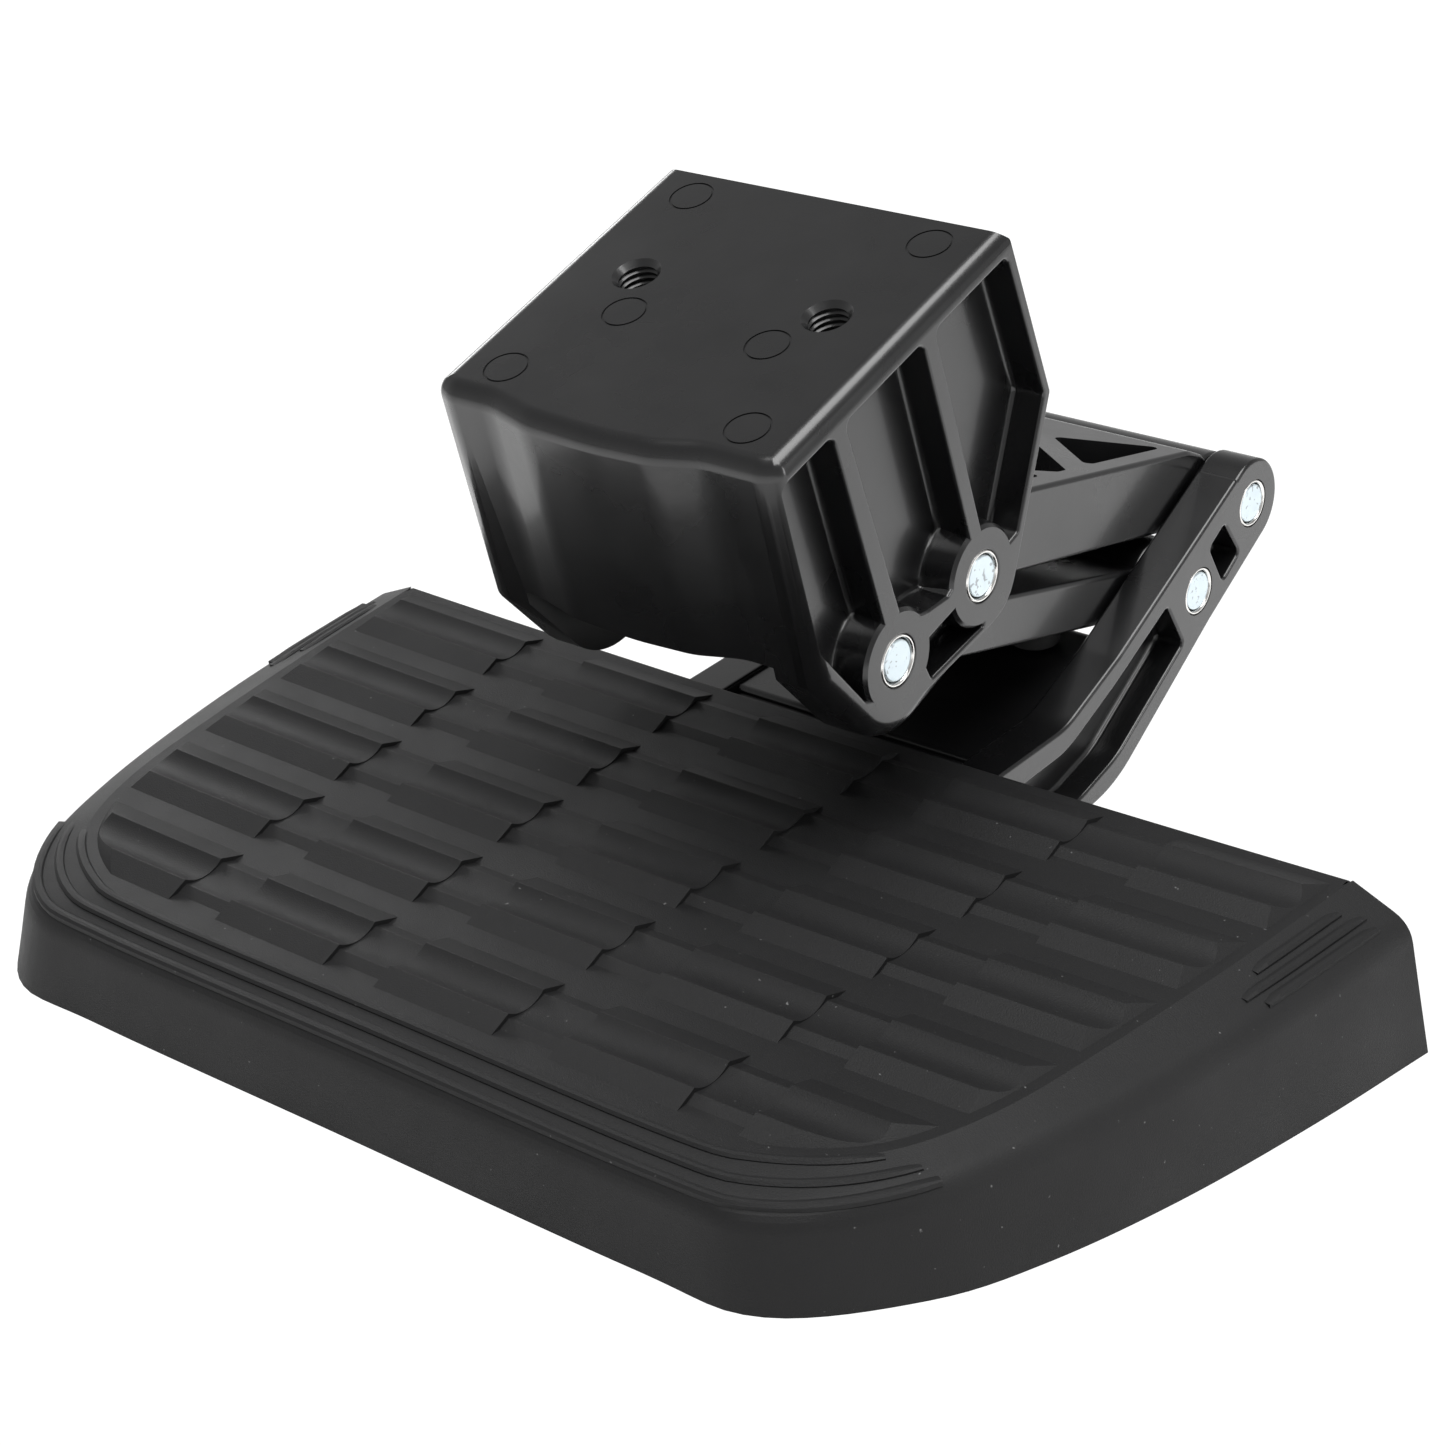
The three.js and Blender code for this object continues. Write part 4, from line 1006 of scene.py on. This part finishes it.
def bumper(node):
    """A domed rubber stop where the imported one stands."""
    low, high = (TREAD.inverted() @ Vector(corner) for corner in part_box(node))
    centre = TREAD.inverted() @ node_centre(node)
    height = high.z - low.z - 0.7
    piece = rod("bumper", BUMPER_RADIUS, centre.z - height / 2, centre.z + height / 2,
                (centre.x, centre.y), axis="Z", vertices=48)
    choose(piece)
    bpy.ops.object.mode_set(mode="EDIT")
    bpy.ops.mesh.select_all(action="DESELECT")
    mesh = bmesh.from_edit_mesh(piece.data)
    top = max(vertex.co.z for vertex in mesh.verts)
    for face in mesh.faces:
        face.select_set(face.calc_center_median().z > top - 0.01)
    bpy.ops.mesh.inset(thickness=BUMPER_CROWN)
    for vertex in mesh.verts:
        if not vertex.select and vertex.co.z > top - 0.01:
            vertex.co.z -= BUMPER_CROWN
    bpy.ops.object.mode_set(mode="OBJECT")
    return soften(piece, 0.5)


# --- add-on


class StepSettings(bpy.types.PropertyGroup):
    """Sizes, colours and light of the step."""

    bar_height: bpy.props.FloatProperty(
        name="Bar height", description="Height of the tread's high bars, in millimetres", default=2.5,
        min=0.5)
    low_bar_height: bpy.props.FloatProperty(
        name="Low bar height", description="Height of the bars between them, in millimetres", default=1.3,
        min=0.2)
    casting_colour: bpy.props.FloatVectorProperty(
        name="Casting colour", description="Colour of the castings' coat", subtype="COLOR",
        default=(0.0035, 0.0035, 0.0038), min=0.0, max=1.0)
    tread_colour: bpy.props.FloatVectorProperty(
        name="Tread colour", description="Colour of the tread's plastic", subtype="COLOR",
        default=(0.0072, 0.0072, 0.0075), min=0.0, max=1.0)
    zinc_colour: bpy.props.FloatVectorProperty(
        name="Zinc colour", description="Colour of the plated pins", subtype="COLOR",
        default=(0.62, 0.7, 0.74), min=0.0, max=1.0)
    key_power: bpy.props.FloatProperty(
        name="Key light", description="Power of the large lamp over the step", default=34.0, unit="POWER")
    fill_power: bpy.props.FloatProperty(
        name="Fill light", description="Power of the lamps at the sides", default=3.0, unit="POWER")
    room_light: bpy.props.FloatProperty(
        name="Room light", description="Strength of the pale room at the horizon", default=0.6)


def settings():
    return bpy.context.scene.step_settings


class StepOperator(bpy.types.Operator):
    """Base of the step's operators."""

    bl_options = {"REGISTER", "UNDO"}


class STEP_OT_finishes(StepOperator):
    """Make the step's finishes"""

    bl_idname = "step.finishes"
    bl_label = "Make finishes"

    def execute(self, context):
        make_finishes(settings())
        return {"FINISHED"}


class STEP_OT_housing(StepOperator):
    """Model the cast mount housing"""

    bl_idname = "step.housing"
    bl_label = "Mount housing"

    def execute(self, context):
        body = housing_details(housing_body())
        place(body, "mount_housing_look", HOUSING, "powder_coated_casting", "housing", ["mount_housing"])
        return {"FINISHED"}


class STEP_OT_links(StepOperator):
    """Model the two cast links"""

    bl_idname = "step.links"
    bl_label = "Links"

    def execute(self, context):
        for level, model in (("upper", upper_link_body), ("lower", lower_link_body)):
            matrix, length = link_frame(f"housing_{level}", f"arm_{level}")
            place(model(length), f"{level}_link_look", matrix, "powder_coated_casting", f"{level}_link",
                  [f"{level}_link"])
        return {"FINISHED"}


class STEP_OT_arm(StepOperator):
    """Model the goose-neck swing arm"""

    bl_idname = "step.arm"
    bl_label = "Swing arm"

    def execute(self, context):
        place(arm_body(), "swing_arm_look", TREAD, "powder_coated_casting", "swing_arm", ["swing_arm"])
        return {"FINISHED"}


class STEP_OT_tread(StepOperator):
    """Model the moulded tread cover, and give the frame under it its finish"""

    bl_idname = "step.tread"
    bl_label = "Tread"

    def execute(self, context):
        place(cover_body(settings()), "tread_cover_look", TREAD, "grained_tread_plastic", "swing_arm",
              ["tread_cover"], smooth=COVER_SMOOTH_ANGLE)
        for node in ("step_frame", "frame_rail_left", "frame_rail_right"):
            keep(node, "coated_sheet")
        return {"FINISHED"}


class STEP_OT_pivots(StepOperator):
    """Model the pins, rings, bushes and springs"""

    bl_idname = "step.pivots"
    bl_label = "Pivots"

    def execute(self, context):
        bodies = {"housing_upper": ("upper_link", "housing", "upper_link"),
                  "housing_lower": ("lower_link", "housing", "lower_link"),
                  "arm_upper": ("swing_arm", "swing_arm", "upper_link"),
                  "arm_lower": ("swing_arm", "swing_arm", "lower_link")}
        for pivot, (pin_body, sleeve_body, link) in bodies.items():
            centre = AT_TREAD[pivot]
            half = HOUSING_HALF if sleeve_body == "housing" else ARM_HALF
            length = HOUSING_SLEEVE if sleeve_body == "housing" else ARM_SLEEVE
            radius, bore = LINK_BUSH_RADIUS, PIN_RADIUS + BORE
            if pivot == "arm_upper":
                radius, bore = OPEN_BUSH_RADIUS, OPEN_BUSH_BORE
            place(pin(half - PIN_RECESS, centre), f"{pivot}_pin_look", TREAD, "zinc_plate", pin_body,
                  [f"{pivot}_pin"])
            for name, side in SIDES.items():
                place(sleeve(side, half - SLEEVE_RECESS, length, centre), f"{pivot}_sleeve_{name}_look",
                      TREAD, "ground_ring", sleeve_body, [f"{pivot}_sleeve_{name}"])
                place(bush(side, radius, bore, centre), f"{pivot}_bush_{name}_look", TREAD,
                      "bearing_polymer", link, [f"{pivot}_bush_{name}"])
        for name, side in SIDES.items():
            place(spring(side, AT_TREAD["housing_lower"]), f"torsion_spring_{name}_look", TREAD,
                  "spring_wire", "lower_link", [f"torsion_spring_{name}"])
        return {"FINISHED"}


class STEP_OT_fixings(StepOperator):
    """Finish the bolts, screws and rubber stops"""

    bl_idname = "step.fixings"
    bl_label = "Fixings"

    def execute(self, context):
        for node in BOLTS + SCREWS:
            keep(node, "zinc_plate")
        for side_name in SIDES:
            node = f"stow_bumper_{side_name}"
            place(bumper(node), f"{node}_look", TREAD, "bump_rubber", "swing_arm", [node])
        return {"FINISHED"}


FLOOR_COLOUR = (0.93, 0.93, 0.93, 1.0)
CAMERA_PLACE = (0.48341, -0.60835, 0.39855)
CAMERA_AIM = (-0.01101, -0.00918, 0.04940)
CAMERA_ROLL = -0.872
CAMERA_LENS = 80.48
CEILING_HEIGHT = 0.8        # where the room stops getting darker, as the sine of its elevation
CEILING_LIGHT = 0.3
GROUND_GLOW = 0.5           # added to the room's light below the horizon, which makes the ground white
GROUND_GLOW_DEPTH = -0.2    # full from here down, as the sine of the elevation


def aim(thing, target, roll=0.0):
    """Turns a lamp or the camera towards a point."""
    way = Vector(target) - thing.location
    thing.rotation_euler = (way.to_track_quat("-Z", "Y").to_matrix()
                            @ Matrix.Rotation(math.radians(roll), 3, "Z")).to_euler()


def soft_lamp(name, place_at, target, power, width, height):
    deselect_all()
    bpy.ops.object.light_add(type="AREA", location=place_at)
    lamp = bpy.context.object
    lamp.name = name
    lamp.data.shape = "RECTANGLE"
    lamp.data.size = width
    lamp.data.size_y = height
    lamp.data.energy = power
    aim(lamp, target)
    return lamp


class STEP_OT_stage(StepOperator):
    """Set the floor, the studio light and the camera"""

    bl_idname = "step.stage"
    bl_label = "Stage"

    def execute(self, context):
        values = settings()
        deselect_all()
        bpy.ops.mesh.primitive_plane_add(size=12.0, location=(0.0, 0.0, -0.0003))
        floor = bpy.context.object
        floor.name = "floor"
        pale = bpy.data.materials.new("pale_floor")
        pale.use_nodes = True
        pale.node_tree.nodes["Principled BSDF"].inputs["Base Color"].default_value = FLOOR_COLOUR
        pale.node_tree.nodes["Principled BSDF"].inputs["Roughness"].default_value = 0.9
        floor.data.materials.append(pale)
        floor.visible_camera = False  # the step swings down past it, so it only lights the step
        room = bpy.data.worlds.new("pale_room")
        room.use_nodes = True
        tree = room.node_tree
        back = tree.nodes["Background"]
        back.inputs["Color"].default_value = (1.0, 1.0, 1.0, 1.0)
        way = add_node(tree, "ShaderNodeTexCoord")
        split = add_node(tree, "ShaderNodeSeparateXYZ")
        fade = add_node(tree, "ShaderNodeMapRange", From_Max=CEILING_HEIGHT, To_Min=values.room_light,
                        To_Max=CEILING_LIGHT)
        glow = add_node(tree, "ShaderNodeMapRange", From_Min=GROUND_GLOW_DEPTH, From_Max=0.0,
                        To_Min=GROUND_GLOW, To_Max=0.0)
        total = add_node(tree, "ShaderNodeMath")
        connect(tree, (way, "Generated", split, "Vector"), (split, "Z", fade, "Value"),
                (split, "Z", glow, "Value"), (fade, "Result", total, 0), (glow, "Result", total, 1),
                (total, "Value", back, "Strength"))
        context.scene.world = room
        for name, spot, target, power, width, height in (
                ("key_lamp", (0.25, -0.15, 1.5), (0.0, 0.0, 0.0), values.key_power, 1.4, 1.2),
                ("left_lamp", (-1.15, 0.5, 0.5), (-0.1, -0.05, 0.05), values.fill_power, 0.5, 0.35),
                ("right_lamp", (1.1, 0.25, 0.45), (0.0, 0.0, 0.08), values.fill_power, 0.2, 0.7)):
            soft_lamp(name, spot, target, power, width, height)
        deselect_all()
        bpy.ops.object.camera_add(location=CAMERA_PLACE)
        camera = context.object
        camera.name = "view_camera"
        camera.data.lens = CAMERA_LENS
        camera.data.sensor_width = 36.0
        aim(camera, CAMERA_AIM, CAMERA_ROLL)
        context.scene.camera = camera
        context.scene.view_settings.view_transform = "Standard"
        return {"FINISHED"}


class STEP_PT_panel(bpy.types.Panel):
    """Lists the step's operators and settings"""

    bl_idname = "STEP_PT_panel"
    bl_label = "Tailgate step"
    bl_space_type = "VIEW_3D"
    bl_region_type = "UI"
    bl_category = "Step"

    def draw(self, context):
        values = context.scene.step_settings
        for name in StepSettings.__annotations__:
            self.layout.prop(values, name)
        for operator in OPERATORS:
            self.layout.operator(operator.bl_idname)


OPERATORS = (STEP_OT_finishes, STEP_OT_stage, STEP_OT_housing, STEP_OT_links, STEP_OT_arm, STEP_OT_tread,
             STEP_OT_pivots, STEP_OT_fixings)
CLASSES = (StepSettings, *OPERATORS, STEP_PT_panel)


def register():
    for each in CLASSES:
        bpy.utils.register_class(each)
    bpy.types.Scene.step_settings = bpy.props.PointerProperty(type=StepSettings)


def unregister():
    del bpy.types.Scene.step_settings
    for each in reversed(CLASSES):
        bpy.utils.unregister_class(each)


def main():
    register()
    for operator in OPERATORS:
        group, name = operator.bl_idname.split(".")
        getattr(getattr(bpy.ops, group), name)()


if __name__ == "__main__":
    main()
